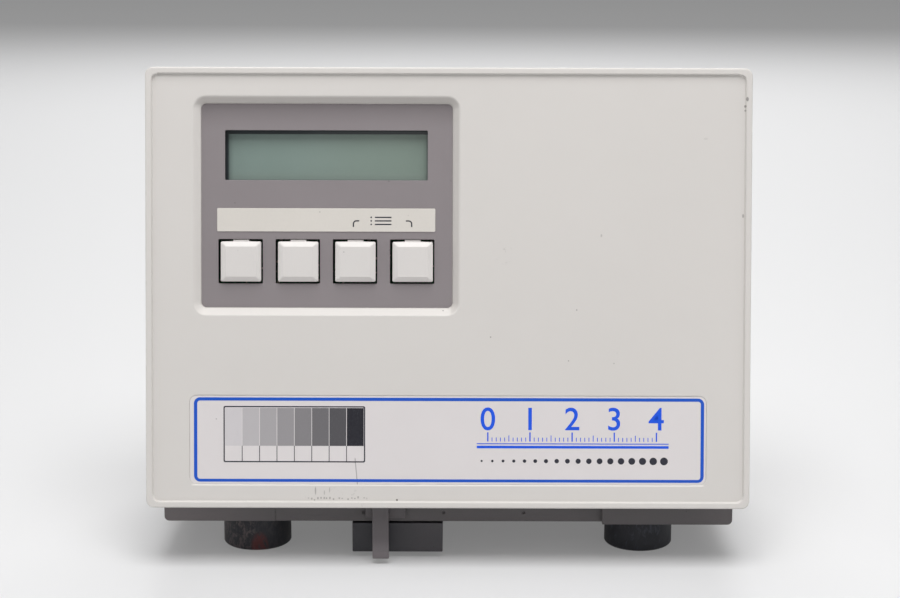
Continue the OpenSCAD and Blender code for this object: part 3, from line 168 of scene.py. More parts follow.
class Paint:
    """A material under construction: a Principled shader and short calls for the nodes that feed it.

    The calls work in millimetres of the row frame, the object coordinates of every CAD node and piece.
    """

    def __init__(self, name, rough, **values):
        self.mat = bpy.data.materials.new(name)
        self.mat.use_nodes = True
        self.tree = self.mat.node_tree
        self.tree.nodes.clear()
        self.shader = self.tree.nodes.new("ShaderNodeBsdfPrincipled")
        out = self.tree.nodes.new("ShaderNodeOutputMaterial")
        self.tree.links.new(self.shader.outputs[0], out.inputs["Surface"])
        self.shader.inputs["Roughness"].default_value = rough
        for key, value in values.items():
            self.shader.inputs[key.replace("_", " ")].default_value = value
        coords = self.tree.nodes.new("ShaderNodeTexCoord")
        scale = self.tree.nodes.new("ShaderNodeVectorMath")
        scale.operation = "SCALE"
        scale.inputs["Scale"].default_value = 1.0 / MM
        self.tree.links.new(coords.outputs["Object"], scale.inputs[0])
        self.mm = scale.outputs[0]
        self.round = None

    def feed(self, socket, value):
        if isinstance(value, bpy.types.NodeSocket):
            self.tree.links.new(value, socket)
        else:
            socket.default_value = value

    def math(self, op, a, b=0.0, c=0.0):
        node = self.tree.nodes.new("ShaderNodeMath")
        node.operation = op
        for socket, value in zip(node.inputs, (a, b, c)):
            self.feed(socket, value)
        return node.outputs[0]

    def product(self, first, *others):
        for value in others:
            first = self.math("MULTIPLY", first, value)
        return first

    def stretched(self, x, y, z):
        """The coordinates in millimetres, each times its own factor."""
        node = self.tree.nodes.new("ShaderNodeVectorMath")
        node.operation = "MULTIPLY"
        self.feed(node.inputs[0], self.mm)
        node.inputs[1].default_value = (x, y, z)
        return node.outputs[0]

    def noise(self, scale, detail=2.0, rough=0.5, at=None, distortion=0.0):
        node = self.tree.nodes.new("ShaderNodeTexNoise")
        self.feed(node.inputs["Vector"], at or self.mm)
        node.inputs["Scale"].default_value = scale
        node.inputs["Detail"].default_value = detail
        node.inputs["Roughness"].default_value = rough
        node.inputs["Distortion"].default_value = distortion
        return node.outputs["Fac"]

    def spots(self, scale):
        """Distance to the nearest of many scattered points."""
        node = self.tree.nodes.new("ShaderNodeTexVoronoi")
        self.feed(node.inputs["Vector"], self.mm)
        node.inputs["Scale"].default_value = scale
        return node.outputs["Distance"]

    def step(self, value, low, high):
        """From 0 at low to 1 at high, smooth between; low may be the larger of the two."""
        node = self.tree.nodes.new("ShaderNodeMapRange")
        node.interpolation_type = "SMOOTHSTEP"
        self.feed(node.inputs["Value"], value)
        node.inputs["From Min"].default_value = min(low, high)
        node.inputs["From Max"].default_value = max(low, high)
        node.inputs["To Min"].default_value = 0.0 if low < high else 1.0
        node.inputs["To Max"].default_value = 1.0 if low < high else 0.0
        return node.outputs["Result"]

    def within(self, value, low, high, soft):
        """1 where the value is between low and high, with both limits softened by that much."""
        above = self.step(value, low - soft, low + soft)
        below = self.step(value, high + soft, high - soft)
        return self.product(above, below)

    def mix(self, fac, a, b):
        node = self.tree.nodes.new("ShaderNodeMix")
        node.data_type = "RGBA"
        self.feed(node.inputs["Factor"], fac)
        self.feed(node.inputs[6], a)
        self.feed(node.inputs[7], b)
        return node.outputs[2]

    def over(self, tone, colour, *factors):
        """A colour laid over a tone, as strongly as the product of the factors says."""
        return self.mix(self.product(*factors), tone, colour)

    def axis(self, name):
        node = self.tree.nodes.new("ShaderNodeSeparateXYZ")
        self.feed(node.inputs[0], self.mm)
        return node.outputs[name]

    def edge(self, radius):
        """1 on edges, where a rounded normal leaves the true one. Also keeps that rounded normal."""
        node = self.tree.nodes.new("ShaderNodeBevel")
        node.samples = 4
        node.inputs["Radius"].default_value = radius * MM
        self.round = node.outputs[0]
        true = self.tree.nodes.new("ShaderNodeNewGeometry")
        dot = self.tree.nodes.new("ShaderNodeVectorMath")
        dot.operation = "DOT_PRODUCT"
        self.feed(dot.inputs[0], node.outputs[0])
        self.feed(dot.inputs[1], true.outputs["Normal"])
        return self.step(self.math("SUBTRACT", 1.0, dot.outputs["Value"]), 0.0, 0.35)

    def grime(self, distance):
        """1 deep in corners and under lips: a mask for painted shade there."""
        node = self.tree.nodes.new("ShaderNodeAmbientOcclusion")
        node.samples = 4
        node.inputs["Distance"].default_value = distance * MM
        return self.step(node.outputs["AO"], 0.95, 0.35)

    def along(self, y_part, z_part):
        """Distance from the face's lower front edge, along a direction in the YZ plane."""
        y = self.math("MULTIPLY", self.math("SUBTRACT", self.axis("Y"), FACE_Y), y_part)
        z = self.math("MULTIPLY", self.math("SUBTRACT", self.axis("Z"), FACE_Z), z_part)
        return self.math("ADD", y, z)

    def face_place(self):
        """Across and up the leaning face."""
        return self.axis("X"), self.along(math.sin(LEAN), math.cos(LEAN))

    def depth(self):
        """Distance behind the leaning face."""
        return self.along(math.cos(LEAN), -math.sin(LEAN))

    def spot(self, x, w, r, across, up, tall):
        """1 on a spot of radius r at (x, w), drawn out upwards by `tall`."""
        dx = self.math("SUBTRACT", across, x)
        dw = self.math("DIVIDE", self.math("SUBTRACT", up, w), tall)
        d = self.math("SQRT", self.math("MULTIPLY_ADD", dx, dx, self.math("MULTIPLY", dw, dw)))
        return self.step(d, r, r * 0.55)

    def ticks(self, pitch, across, up, low, high, half):
        """Short upright marks, one in most cells of that pitch, each with its own height and length."""
        place = self.math("DIVIDE", across, pitch)
        chance = self.tree.nodes.new("ShaderNodeTexWhiteNoise")
        chance.noise_dimensions = "1D"
        self.feed(chance.inputs["W"], self.math("FLOOR", place))
        split = self.tree.nodes.new("ShaderNodeSeparateColor")
        self.feed(split.inputs[0], chance.outputs["Color"])
        middle = self.math("MULTIPLY_ADD", split.outputs[0], 0.5, 0.25)
        off = self.math("ABSOLUTE", self.math("SUBTRACT", self.math("FRACT", place), middle))
        line = self.step(self.math("MULTIPLY", off, pitch), half * 1.5, half * 0.6)
        bottom = self.math("MULTIPLY_ADD", split.outputs[1], (high - low) * 0.6, low)
        lowest_top = self.math("ADD", bottom, 0.4)
        top = self.math("MULTIPLY_ADD", split.outputs[2], (high - low) * 0.4, lowest_top)
        over = self.step(self.math("SUBTRACT", up, bottom), 0.0, 0.15)
        under = self.step(self.math("SUBTRACT", top, up), 0.0, 0.15)
        there = self.step(chance.outputs["Value"], 0.25, 0.3)
        return self.product(line, there, over, under)

    def bump(self, height, distance, strength=1.0):
        node = self.tree.nodes.new("ShaderNodeBump")
        node.inputs["Strength"].default_value = strength
        node.inputs["Distance"].default_value = distance * MM
        self.feed(node.inputs["Height"], height)
        if self.round is not None:
            self.feed(node.inputs["Normal"], self.round)
        return node.outputs[0]

    def done(self, colour, rough=None, normal=None):
        self.feed(self.shader.inputs["Base Color"], colour)
        if rough is not None:
            self.feed(self.shader.inputs["Roughness"], rough)
        if normal is not None:
            self.feed(self.shader.inputs["Normal"], normal)
        return self.mat


# ---------------------------------------------------------------- materials


def moulded(
    name, colour, *, rough, grain, depth, radius, wear, corner_shade, worn=None, dark_below=None, fades=()
):
    """Moulded plastic: spark texture, slow changes of tone, polished edges and painted shade in the
    corners.

    `grain` and `depth` are the texture's size and height, and `radius` is how far wear reaches from an
    edge. Past the depth `dark_below` behind the face the plastic is painted black, as shade in the gaps
    around keys and openings. Each of the fades, (axis, start, end, colour), turns the plastic into another
    colour from one place to the next.
    """
    p = Paint(name, rough)
    fine = p.noise(1.0 / grain, 2.0, 0.6)
    tone = p.mix(p.noise(0.035, 3.0), shade(colour, 0.965), shade(colour, 1.03))
    for axis, start, end, other in fades:
        tone = p.over(tone, other, p.step(p.axis(axis), start, end))
    tone = p.over(tone, shade(colour, 0.86), p.step(fine, 0.35, 0.75), 0.10)
    # painted shade: darker in corners and under lips
    tone = p.over(tone, shade(colour, 0.45), p.grime(2.2), corner_shade)
    edge = p.edge(radius)
    patchy = p.step(p.noise(0.12, 3.0), 0.35, 0.7)
    tone = p.over(tone, worn or shade(colour, 1.25), edge, patchy, wear)
    tone = p.over(tone, shade(colour, 0.35), p.step(p.spots(0.16), 0.055, 0.03), 0.35)
    # painted shade: black past that depth, where the gaps lie in shade
    if dark_below is not None:
        tone = p.over(tone, srgb(9, 9, 10), p.step(p.depth(), dark_below, dark_below + 0.1))
    roughness = p.math("MULTIPLY_ADD", p.noise(0.09, 3.0), 0.16, rough - 0.08)
    roughness = p.math("SUBTRACT", roughness, p.product(edge, 0.12))
    return p.done(tone, roughness, p.bump(fine, depth))


def metal(name, colour, rough, brushed=(0.02, 1.0, 1.0)):
    """Metal with brushing along the axis of the smallest factor, duller in patches."""
    p = Paint(name, rough, Metallic=1.0)
    lines = p.noise(6.0, 3.0, 0.6, p.stretched(*brushed))
    tone = p.mix(lines, shade(colour, 0.85), shade(colour, 1.1))
    tone = p.over(tone, shade(colour, 0.6), p.step(p.noise(0.2, 3.0), 0.45, 0.7), 0.25)
    tone = p.over(tone, shade(colour, 1.35), p.edge(0.15), 0.3)
    roughness = p.math("MULTIPLY_ADD", lines, 0.22, rough - 0.1)
    return p.done(tone, roughness, p.bump(lines, 0.004))


def dusty_slopes(p, tone, across, up, recessed):
    """Painted shade: the recess's upper and right slopes are darker than the others."""
    upper = p.step(up, SLOPE_TOP - 0.4, SLOPE_TOP + 0.4)
    right = p.product(p.step(across, SLOPE_RIGHT - 0.4, SLOPE_RIGHT + 0.4), 0.8)
    slopes = p.product(p.math("MAXIMUM", upper, right), p.step(up, 60.0, 64.0))
    return p.over(tone, srgb(120, 112, 104), slopes, recessed, 0.20)


def scuffs(p, tone, across, up, front):
    """Handling marks under the label, left of the middle."""
    left, low, right, high = SCUFFS
    under_pocket = p.step(up, POCKET_FOOT, POCKET_FOOT - 0.8)
    zone = p.product(p.within(across, left, right, 1.5), front, under_pocket)
    strokes = p.ticks(1.0, across, up, low, high, 0.22)
    rubbed = p.step(p.noise(0.7, 4.0, 0.8), 0.58, 0.72)
    marks = p.math("MAXIMUM", strokes, p.product(rubbed, 0.35))
    return p.over(tone, srgb(100, 95, 92), zone, marks, 0.5)


def small_marks(p, tone, across, up, front):
    """Nicks, specks and one smear."""
    for x, w, r, tall, dark in FACE_MARKS:
        tone = p.over(tone, srgb(70, 64, 60), p.spot(x, w, r, across, up, tall), front, dark)
    smear = p.product(p.spot(SMEAR_X, SMEAR_W, SMEAR_R, across, up, 1.3), front)
    patches = p.step(p.noise(0.55, 4.0, 0.8), 0.55, 0.68)
    return p.over(tone, srgb(120, 112, 106), smear, patches, 0.32)


def pocket_glint(p, tone, across, up, front):
    """Light caught by the lower edge of the label's pocket."""
    line = p.within(up, POCKET_FOOT - 0.475, POCKET_FOOT + 0.075, 0.075)
    left, low, right, high = POCKET
    reach = p.step(p.math("ABSOLUTE", across), right - 1.0, right - 2.0)
    return p.over(tone, srgb(234, 230, 226), line, reach, front)


def housing_plastic():
    """The covers' plastic, with the marks of use that the face has, painted shade in its corners and
    recess, and painted highlights on its edges.
    """
    colour = srgb(214, 210, 206)
    p = Paint("housing_plastic", 0.5)
    across, up = p.face_place()
    front = p.step(p.axis("Y"), *FRONT_HALF)
    recessed = p.product(p.step(p.depth(), *RECESS_U), front)
    fine = p.noise(2.2, 2.0, 0.6)
    tone = p.mix(p.noise(0.02, 2.0), shade(colour, 0.975), shade(colour, 1.02))
    tone = p.over(tone, shade(colour, 0.9), p.step(fine, 0.4, 0.8), 0.05)
    # painted shade: darker in corners and under lips, stronger in the recess
    tone = p.over(tone, srgb(120, 112, 100), p.grime(1.6), p.math("MULTIPLY_ADD", recessed, 0.26, 0.14))
    tone = dusty_slopes(p, tone, across, up, recessed)
    tone = scuffs(p, tone, across, up, front)
    tone = small_marks(p, tone, across, up, front)
    tone = pocket_glint(p, tone, across, up, front)
    faint = p.step(p.noise(0.22, 4.0, 0.75, p.stretched(1.0, 1.0, 0.5)), 0.70, 0.78)
    tone = p.over(tone, srgb(140, 132, 122), faint, 0.10)
    # edges lighter: partly wear, partly a painted highlight along them
    tone = p.over(tone, srgb(232, 228, 221), p.edge(0.45), 0.35)
    roughness = p.math("MULTIPLY_ADD", p.noise(0.06, 3.0), 0.14, 0.43)
    return p.done(tone, roughness, p.bump(fine, 0.006))


def display_glass():
    """Liquid crystal behind glossy glass, dark along the edges where its cell is sealed, with a painted
    shadow under the window's upper edge and along its left, and painted light along its bottom.
    """
    p = Paint("display_glass", 0.16, Coat_Weight=0.25, Coat_Roughness=0.05)
    across, up = p.face_place()
    left, low, right, high = WINDOW
    tone = p.mix(p.step(across, left + 2.8, right - 1.2), srgb(134, 151, 146), srgb(128, 143, 133))
    tone = p.over(tone, srgb(120, 137, 128), p.noise(0.05, 2.0), 0.6)
    # painted light: lighter along the bottom edge
    tone = p.over(tone, srgb(150, 164, 156), p.step(up, low + 4.4, low + 0.2), 0.35)
    under_edge = p.product(p.step(up, high - 3.4, high - 0.6), 0.3)
    shadow = p.math("MAXIMUM", under_edge, p.step(across, left + 2.8, left + 0.6))
    tone = p.over(tone, srgb(40, 48, 56), shadow, 0.34)
    thin = p.math("MAXIMUM", p.step(up, low + 0.4, low + 0.1), p.step(across, right - 0.7, right - 0.3))
    tone = p.over(tone, srgb(60, 68, 74), thin, 0.35)
    seal = p.math("MAXIMUM", p.step(up, high - 1.35, high - 0.95), p.step(across, left + 1.3, left + 0.5))
    tone = p.over(tone, srgb(26, 30, 38), seal, 0.9)
    return p.done(tone, p.math("MULTIPLY_ADD", p.noise(0.15, 3.0), 0.10, 0.12))


def mottled(p, tone, streaks):
    """The left front foot's brown flecks, most of them on its left, and its red-brown run."""
    low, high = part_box("foot_front_left")
    off = p.math("SUBTRACT", p.axis("X"), (low.x + high.x) / 2 / MM)
    flecks = p.step(p.noise(0.75, 4.0, 0.8, p.stretched(1.0, 1.0, 0.5), 0.5), 0.46, 0.62)
    on_left = p.math("MULTIPLY_ADD", p.step(off, 1.5, -1.0), 0.5, 0.15)
    tone = p.over(tone, srgb(96, 84, 84), flecks, on_left)
    run = p.spot(1.6, 1.5, 3.4, off, p.axis("Z"), 1.7)
    return p.over(tone, srgb(84, 22, 22), run, p.step(streaks, 0.36, 0.52), 0.85)


def foot_rubber(name, rusty):
    """Black rubber with pale streaks of dust, or mottled where it is rusty."""
    p = Paint(name, 0.6)
    tone = p.mix(p.noise(0.5, 4.0, 0.7), srgb(13, 14, 20), srgb(33, 35, 44))
    streaks = p.noise(0.55, 4.0, 0.75, p.stretched(1.0, 1.0, 0.35), 0.8)
    if rusty:
        tone = mottled(p, tone, streaks)
    else:
        tone = p.over(tone, srgb(70, 73, 86), p.step(streaks, 0.52, 0.66), 0.4)
    p.edge(0.4)
    return p.done(tone, p.math("MULTIPLY_ADD", streaks, 0.3, 0.42), p.bump(streaks, 0.12, 0.7))


def circuit_board():
    """Green solder mask over fine copper tracks, with scattered pads."""
    p = Paint("circuit_board", 0.35)
    wobble = p.noise(0.12, 1.0)
    place = p.math("FRACT", p.math("MULTIPLY_ADD", wobble, 6.0, p.product(p.axis("X"), 0.55)))
    lines = p.product(p.step(place, 0.30, 0.36), p.step(place, 0.64, 0.58))
    pads = p.step(p.spots(0.38), 0.24, 0.20)
    tone = p.mix(lines, srgb(18, 74, 44), srgb(34, 104, 62))
    tone = p.over(tone, srgb(176, 170, 150), pads)
    relief = p.bump(p.math("MAXIMUM", lines, pads), 0.03)
    return p.done(tone, p.math("MULTIPLY_ADD", pads, -0.08, 0.38), relief)


def roller_rubber():
    p = Paint("roller_rubber", 0.75)
    fine = p.noise(3.0, 3.0, 0.7)
    tone = p.mix(fine, srgb(24, 24, 26), srgb(44, 43, 43))
    return p.done(tone, None, p.bump(fine, 0.02))


def lens_glass():
    p = Paint("lens_glass", 0.04, Transmission_Weight=0.9, IOR=1.52, Coat_Weight=0.5)
    return p.done(p.mix(p.noise(0.4), srgb(224, 236, 244), srgb(214, 230, 250)))


def ribbon_vinyl():
    """Grey ribbon cable: ridges along its cores, its first core marked."""
    p = Paint("ribbon_vinyl", 0.45)
    across = p.axis("X")
    core = p.math("FRACT", p.math("DIVIDE", p.math("SUBTRACT", across, RIBBON_LEFT), CORE_PITCH))
    ridge = p.math("SINE", p.product(core, math.pi))
    tone = p.mix(ridge, srgb(112, 114, 118), srgb(158, 160, 164))
    tone = p.over(tone, srgb(170, 52, 44), p.within(across, RIBBON_LEFT, RIBBON_LEFT + 1.2, 0.1))
    return p.done(tone, None, p.bump(ridge, 0.25))


def label_film():
    """The label's polyester film, with a hairline scratch in its lower left part."""
    colour = srgb(221, 216, 216)
    p = Paint("label_film", 0.32)
    across, up = p.face_place()
    tone = p.mix(p.noise(0.04, 3.0), shade(colour, 0.98), shade(colour, 1.02))
    bend = p.product(p.math("SUBTRACT", SCRATCH_TOP, up), 0.09)
    off = p.math("ABSOLUTE", p.math("SUBTRACT", p.math("SUBTRACT", across, SCRATCH_X), bend))
    under_top = p.step(up, SCRATCH_TOP + 0.4, SCRATCH_TOP - 0.4)
    tone = p.over(tone, srgb(96, 92, 92), p.step(off, 0.22, 0.08), under_top, 0.55)
    tone = p.over(tone, srgb(120, 112, 108), p.step(p.spots(0.10), 0.03, 0.018), 0.4)
    p.edge(0.12)
    return p.done(tone, p.math("MULTIPLY_ADD", p.noise(0.08, 3.0), 0.12, 0.28), p.bump(p.noise(1.2), 0.002))


def ink(name, colour):
    """Screen printing ink, a little uneven."""
    p = Paint(name, 0.4)
    tone = p.mix(p.noise(1.6, 3.0, 0.7), shade(colour, 0.94), shade(colour, 1.06))
    return p.done(tone, p.math("MULTIPLY_ADD", p.noise(3.0), 0.12, 0.36))


def wedge_ink():
    """Even steps from clear to black, by place across the label."""
    p = Paint("wedge_ink", 0.38)
    place = p.math("DIVIDE", p.math("SUBTRACT", p.axis("X"), WEDGE[0]), WEDGE_PITCH)
    tread = p.math("DIVIDE", p.math("FLOOR", place), WEDGE_STEPS - 1.0)
    dots = p.step(p.spots(2.2), 0.28, 0.34)
    level = p.product(tread, p.math("MULTIPLY_ADD", dots, 0.04, 0.96))
    return p.done(p.mix(p.math("POWER", level, 0.8), srgb(206, 202, 204), srgb(26, 26, 36)))


SLOTS = {
    "housing_plastic": housing_plastic(),
    "panel_plastic": moulded(
        "panel_plastic", srgb(139, 132, 134),
        rough=0.48, grain=0.4, depth=0.008, radius=0.3, wear=0.15, corner_shade=0.3, dark_below=PANEL_DARK_U,
        # painted shade: darker near the top, under the recess's upper edge
        fades=(("Z", 141.0, 149.0, srgb(128, 121, 123)),),
    ),
    "label_film": label_film(),
    "black_metal": moulded(
        "black_metal", srgb(44, 46, 50),
        rough=0.35, grain=0.5, depth=0.006, radius=0.2, wear=0.4, corner_shade=0.2, worn=srgb(130, 130, 132),
    ),
    "display_glass": display_glass(),
    "circuit_board": circuit_board(),
    "key_plastic": moulded(
        "key_plastic", srgb(218, 214, 211),
        rough=0.42, grain=0.5, depth=0.004, radius=0.35, wear=0.2, corner_shade=0.2, dark_below=KEY_DARK_U,
    ),
    "black_plastic": moulded(
        "black_plastic", srgb(36, 36, 38),
        rough=0.45, grain=0.3, depth=0.01, radius=0.25, wear=0.3, corner_shade=0.1,
    ),
    "plunger_plastic": moulded(
        "plunger_plastic", srgb(178, 54, 44),
        rough=0.4, grain=0.4, depth=0.006, radius=0.2, wear=0.2, corner_shade=0.1,
    ),
    "bright_steel": metal("bright_steel", srgb(196, 197, 199), 0.3),
    "dark_steel": metal("dark_steel", srgb(80, 80, 84), 0.45),
    "base_plastic": moulded(
        "base_plastic", srgb(74, 70, 71),
        rough=0.46, grain=0.5, depth=0.008, radius=0.35, wear=0.25, corner_shade=0.35,
        fades=(
            # painted light: the front is lighter low down and towards both ends, where the floor's light
            # reaches it
            ("Z", 20.6, 17.0, srgb(83, 79, 80)),
            ("X", -52.0, -94.0, srgb(106, 100, 101)),
            ("X", 76.0, 95.0, srgb(94, 89, 90)),
        ),
    ),
    "guide_plastic": moulded(
        "guide_plastic", srgb(86, 81, 83),
        rough=0.42, grain=0.5, depth=0.006, radius=0.3, wear=0.3, corner_shade=0.3,
        # painted light: lighter towards its foot, below the housing's shadow, and a painted highlight on
        # its chamfered foot
        fades=(("Z", 10.0, 5.0, srgb(104, 98, 101)), ("Z", 4.6, 4.4, srgb(110, 103, 106))),
    ),
    "arm_plastic": moulded(
        "arm_plastic", srgb(39, 38, 44),
        rough=0.42, grain=0.5, depth=0.008, radius=0.3, wear=0.3, corner_shade=0.3,
        fades=(("X", -22.0, -6.0, srgb(63, 60, 64)),),
    ),
    "foot_rubber": foot_rubber("foot_rubber", False),
    "opal_plastic": moulded(
        "opal_plastic", srgb(232, 232, 226),
        rough=0.3, grain=0.6, depth=0.003, radius=0.2, wear=0.1, corner_shade=0.1,
    ),
    "zinc_plate": metal("zinc_plate", srgb(186, 188, 192), 0.38, (1.0, 0.05, 1.0)),
    "brass": metal("brass", srgb(206, 176, 112), 0.3, (1.0, 1.0, 0.05)),
    "roller_rubber": roller_rubber(),
    "gear_plastic": moulded(
        "gear_plastic", srgb(226, 222, 204),
        rough=0.4, grain=0.5, depth=0.006, radius=0.15, wear=0.1, corner_shade=0.4,
    ),
    "black_anodised": metal("black_anodised", srgb(44, 44, 47), 0.5),
    "lens_glass": lens_glass(),
    "ribbon_vinyl": ribbon_vinyl(),
}
rusty_rubber = foot_rubber("foot_rubber_rusty", True)

for part in frame["record"]["subparts"]:
    for slot in frame["nodes"][part["node"]].material_slots:
        slot.material = SLOTS[part["material_slot"]]
frame["nodes"]["foot_front_left"].material_slots[0].material = rusty_rubber

# ---------------------------------------------------------------- solids with rounded edges


def linked(name, data):
    """A new object in the scene."""
    obj = bpy.data.objects.new(name, data)
    bpy.context.scene.collection.objects.link(obj)
    return obj


def as_shown(obj):
    """A new mesh of what an object's modifiers or curves give."""
    return bpy.data.meshes.new_from_object(obj.evaluated_get(bpy.context.evaluated_depsgraph_get()))


def round_edges(bm, rules, least):
    """Rounds each edge of `least` degrees or more by the first rule that fits both its ends."""
    chosen = [[] for rule in rules]
    for edge in bm.edges:
        if len(edge.link_faces) != 2 or abs(edge.calc_face_angle_signed(0.0)) < math.radians(least):
            continue
        ends = [(ONTO_FACE @ v.co, v.co / MM) for v in edge.verts]
        for found, (radius, test) in zip(chosen, rules):
            if all(test(face, row) for face, row in ends):
                found.append(edge)
                break
    for found, (radius, test) in zip(chosen, rules):
        bmesh.ops.bevel(
            bm, geom=[e for e in found if e.is_valid], offset=radius * MM, offset_type="OFFSET",
            segments=3 if radius > 0.3 else 2, profile=0.5, affect="EDGES", clamp_overlap=True,
            miter_outer="ARC",
        )


def rounded_copy(node, slot, *rules, material=None, least=25.0, reshape=None):
    """Stands for a CAD node: the same solid with some of its sharp edges really rounded over.

    Each rule is (radius, test), where the test gets an end of an edge as (x, u, w) on the face and as
    (x, y, z) in the row frame. `reshape` moves single points of the face by hairs.
    """
    source = frame["nodes"][node]
    bm = bmesh.new()
    bm.from_mesh(source.data)
    bmesh.ops.remove_doubles(bm, verts=bm.verts, dist=2e-6)
    bmesh.ops.dissolve_limit(bm, angle_limit=math.radians(0.4), verts=bm.verts, edges=bm.edges)
    round_edges(bm, rules, least)
    if reshape:
        for v in bm.verts:
            v.co = FACE @ reshape(ONTO_FACE @ v.co)
    mesh = bpy.data.meshes.new(node + "_soft")
    bm.to_mesh(mesh)
    bm.free()
    mesh.materials.append(material or SLOTS[slot])
    mesh.polygons.foreach_set("use_smooth", [True] * len(mesh.polygons))
    mesh.set_sharp_from_angle(angle=math.radians(40.0))
    obj = linked(node + "_soft", mesh)
    normals = obj.modifiers.new("normals", "WEIGHTED_NORMAL")
    normals.keep_sharp = True
    baked = as_shown(obj)
    obj.modifiers.clear()
    obj.data = baked
    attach(obj, source["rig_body"])
    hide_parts(node)


def inside(face, area):
    left, low, right, high = area
    return left < face.x < right and low < face.z < high


def anywhere(face, row):
    return True


def cover_outline(face, row):
    near_side = abs(row.x) > HALF_W - NEAR_EDGE or face.z > FACE_H - NEAR_EDGE or face.z < NEAR_EDGE
    return face.y < FRONT_U and near_side


def rim_inside(face, row):
    return face.y < FRONT_U


def recess_edge(face, row):
    return DROPPED_U[0] < face.y < DROPPED_U[1] and inside(face, RECESS)


def pocket_edge(face, row):
    return DROPPED_U[0] < face.y < DROPPED_U[1] and inside(face, POCKET)


def rear_edge(face, row):
    return row.y > REAR_PLANE - 0.1


def rear_low_or_side(face, row):
    return rear_edge(face, row) and (abs(row.x) > HALF_W - NEAR_EDGE or row.z < FACE_Z + NEAR_EDGE)


def rear_top(face, row):
    return rear_edge(face, row) and face.z > FACE_H - NEAR_EDGE


def pan_bottom(row):
    return row.z < PAN_LOW.z + 0.05


def pan_front_or_rear(face, row):
    return pan_bottom(row) and (row.y < PAN_LOW.y + 4.0 or row.y > PAN_HIGH.y - 0.1)


def pan_side(face, row):
    return pan_bottom(row) and abs(row.x) > PAN_HIGH.x - 2.0


def panel_opening(face, row):
    return PANEL_U[0] < face.y < PANEL_U[1] and inside(face, PANEL_OPENINGS)


def key_front(face, row):
    return face.y < PANEL_U[0]


def arm_foot(face, row):
    return row.z < 2.2


def lower_lip(face):
    """The lower rim hangs a hair over the base pan at the front."""
    if face.z < 3.0:
        face.z -= 0.35 * max(0.0, 1.0 - face.y / 10.0)
    return face


def settled_key(face):
    """The key sits a hair to the right; its tongue runs up to the panel's edge and its cap hangs lower."""
    if OPENING_TOP - 0.2 < face.z < OPENING_TOP and face.y < 5.0:
        face.z = OPENING_TOP - 0.01
    elif face.y < PANEL_U[0] and face.z > OPENING_TOP - 3.0:
        face.z -= 0.15
    if face.y < 3.6:
        face.x += 0.18
    return face


def filling(face):
    """The label fills its pocket."""
    spare = 0.18
    across = math.copysign(spare, face.x)
    up = math.copysign(spare, face.z - LABEL_MIDDLE_W)
    return face + Vector((across, 0.0, up))


rounded_copy(
    "front_cover", "housing_plastic", (0.55, cover_outline), (0.35, rim_inside), (0.6, recess_edge),
    (0.3, pocket_edge), reshape=lower_lip,
)
rounded_copy("rear_cover", "housing_plastic", (0.8, rear_low_or_side), (0.8, rear_top), (0.2, rear_edge))
rounded_copy("base_pan", "base_plastic", (0.5, pan_front_or_rear), (0.5, pan_side))
rounded_copy("control_panel", "panel_plastic", (0.15, panel_opening))
for number in range(1, 5):
    rounded_copy(f"key_{number}", "key_plastic", (0.25, key_front), reshape=settled_key)
rounded_copy("strip_guide", "guide_plastic", (0.35, anywhere))
rounded_copy("arm_shell", "arm_plastic", (0.4, arm_foot))
rounded_copy("label_plate", "label_film", (0.12, anywhere), reshape=filling)
for side in ("front_left", "front_right", "rear_left", "rear_right"):
    rubber = rusty_rubber if side == "front_left" else SLOTS["foot_rubber"]
    rounded_copy("foot_" + side, "foot_rubber", (0.6, anywhere), material=rubber, least=40.0)

# ---------------------------------------------------------------- flat forms, made in (x, u, w)


def rounded(area, r, steps=6):
    """Corners of a rounded rectangle, counter-clockwise seen from the front."""
    left, low, right, high = area
    centres = (
        (right - r, low + r, -90.0),
        (right - r, high - r, 0.0),
        (left + r, high - r, 90.0),
        (left + r, low + r, 180.0),
    )
    points = []
    for x, w, start in centres:
        for i in range(steps + 1):
            a = math.radians(start + 90.0 * i / steps)
            points.append((x + r * math.cos(a), w + r * math.sin(a)))
    return points


def square(left, low, right, high):
    return [(left, low), (right, low), (right, high), (left, high)]


def disc(x, w, r, corners):
    turns = [2 * math.pi * i / corners for i in range(corners)]
    return [(x + r * math.cos(a), w + r * math.sin(a)) for a in turns]


def grown(area, by):
    left, low, right, high = area
    return (left - by, low - by, right + by, high + by)


def loop_at(bm, points, u):
    return [bm.verts.new((x, u, w)) for x, w in points]


def bridge(bm, a, b):
    for i in range(len(a)):
        j = (i + 1) % len(a)
        bm.faces.new((a[i], a[j], b[j], b[i]))


def slab(bm, points, front, back, inset=0.0):
    """A flat piece with that outline; inset slopes its edge towards the front."""
    middle_x = sum(x for x, w in points) / len(points)
    middle_w = sum(w for x, w in points) / len(points)

    def drawn_in(value, middle):
        return value - math.copysign(min(inset, abs(value - middle)), value - middle)

    small = [(drawn_in(x, middle_x), drawn_in(w, middle_w)) for x, w in points]
    a, b, c = loop_at(bm, small, front), loop_at(bm, points, front + inset), loop_at(bm, points, back)
    bm.faces.new(a)
    bridge(bm, a, b)
    bridge(bm, b, c)
    bm.faces.new(c)


def frame_ring(bm, outer, inner, front, back):
    a, b = loop_at(bm, outer, front), loop_at(bm, inner, front)
    c, d = loop_at(bm, outer, back), loop_at(bm, inner, back)
    bridge(bm, a, b)
    bridge(bm, c, d)
    bridge(bm, a, c)
    bridge(bm, b, d)


def label_piece(name, mesh, material):
    """A new piece that rides on the housing and is finished like the label."""
    mesh.materials.append(material)
    piece = linked(name, mesh)
    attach(piece, "housing")


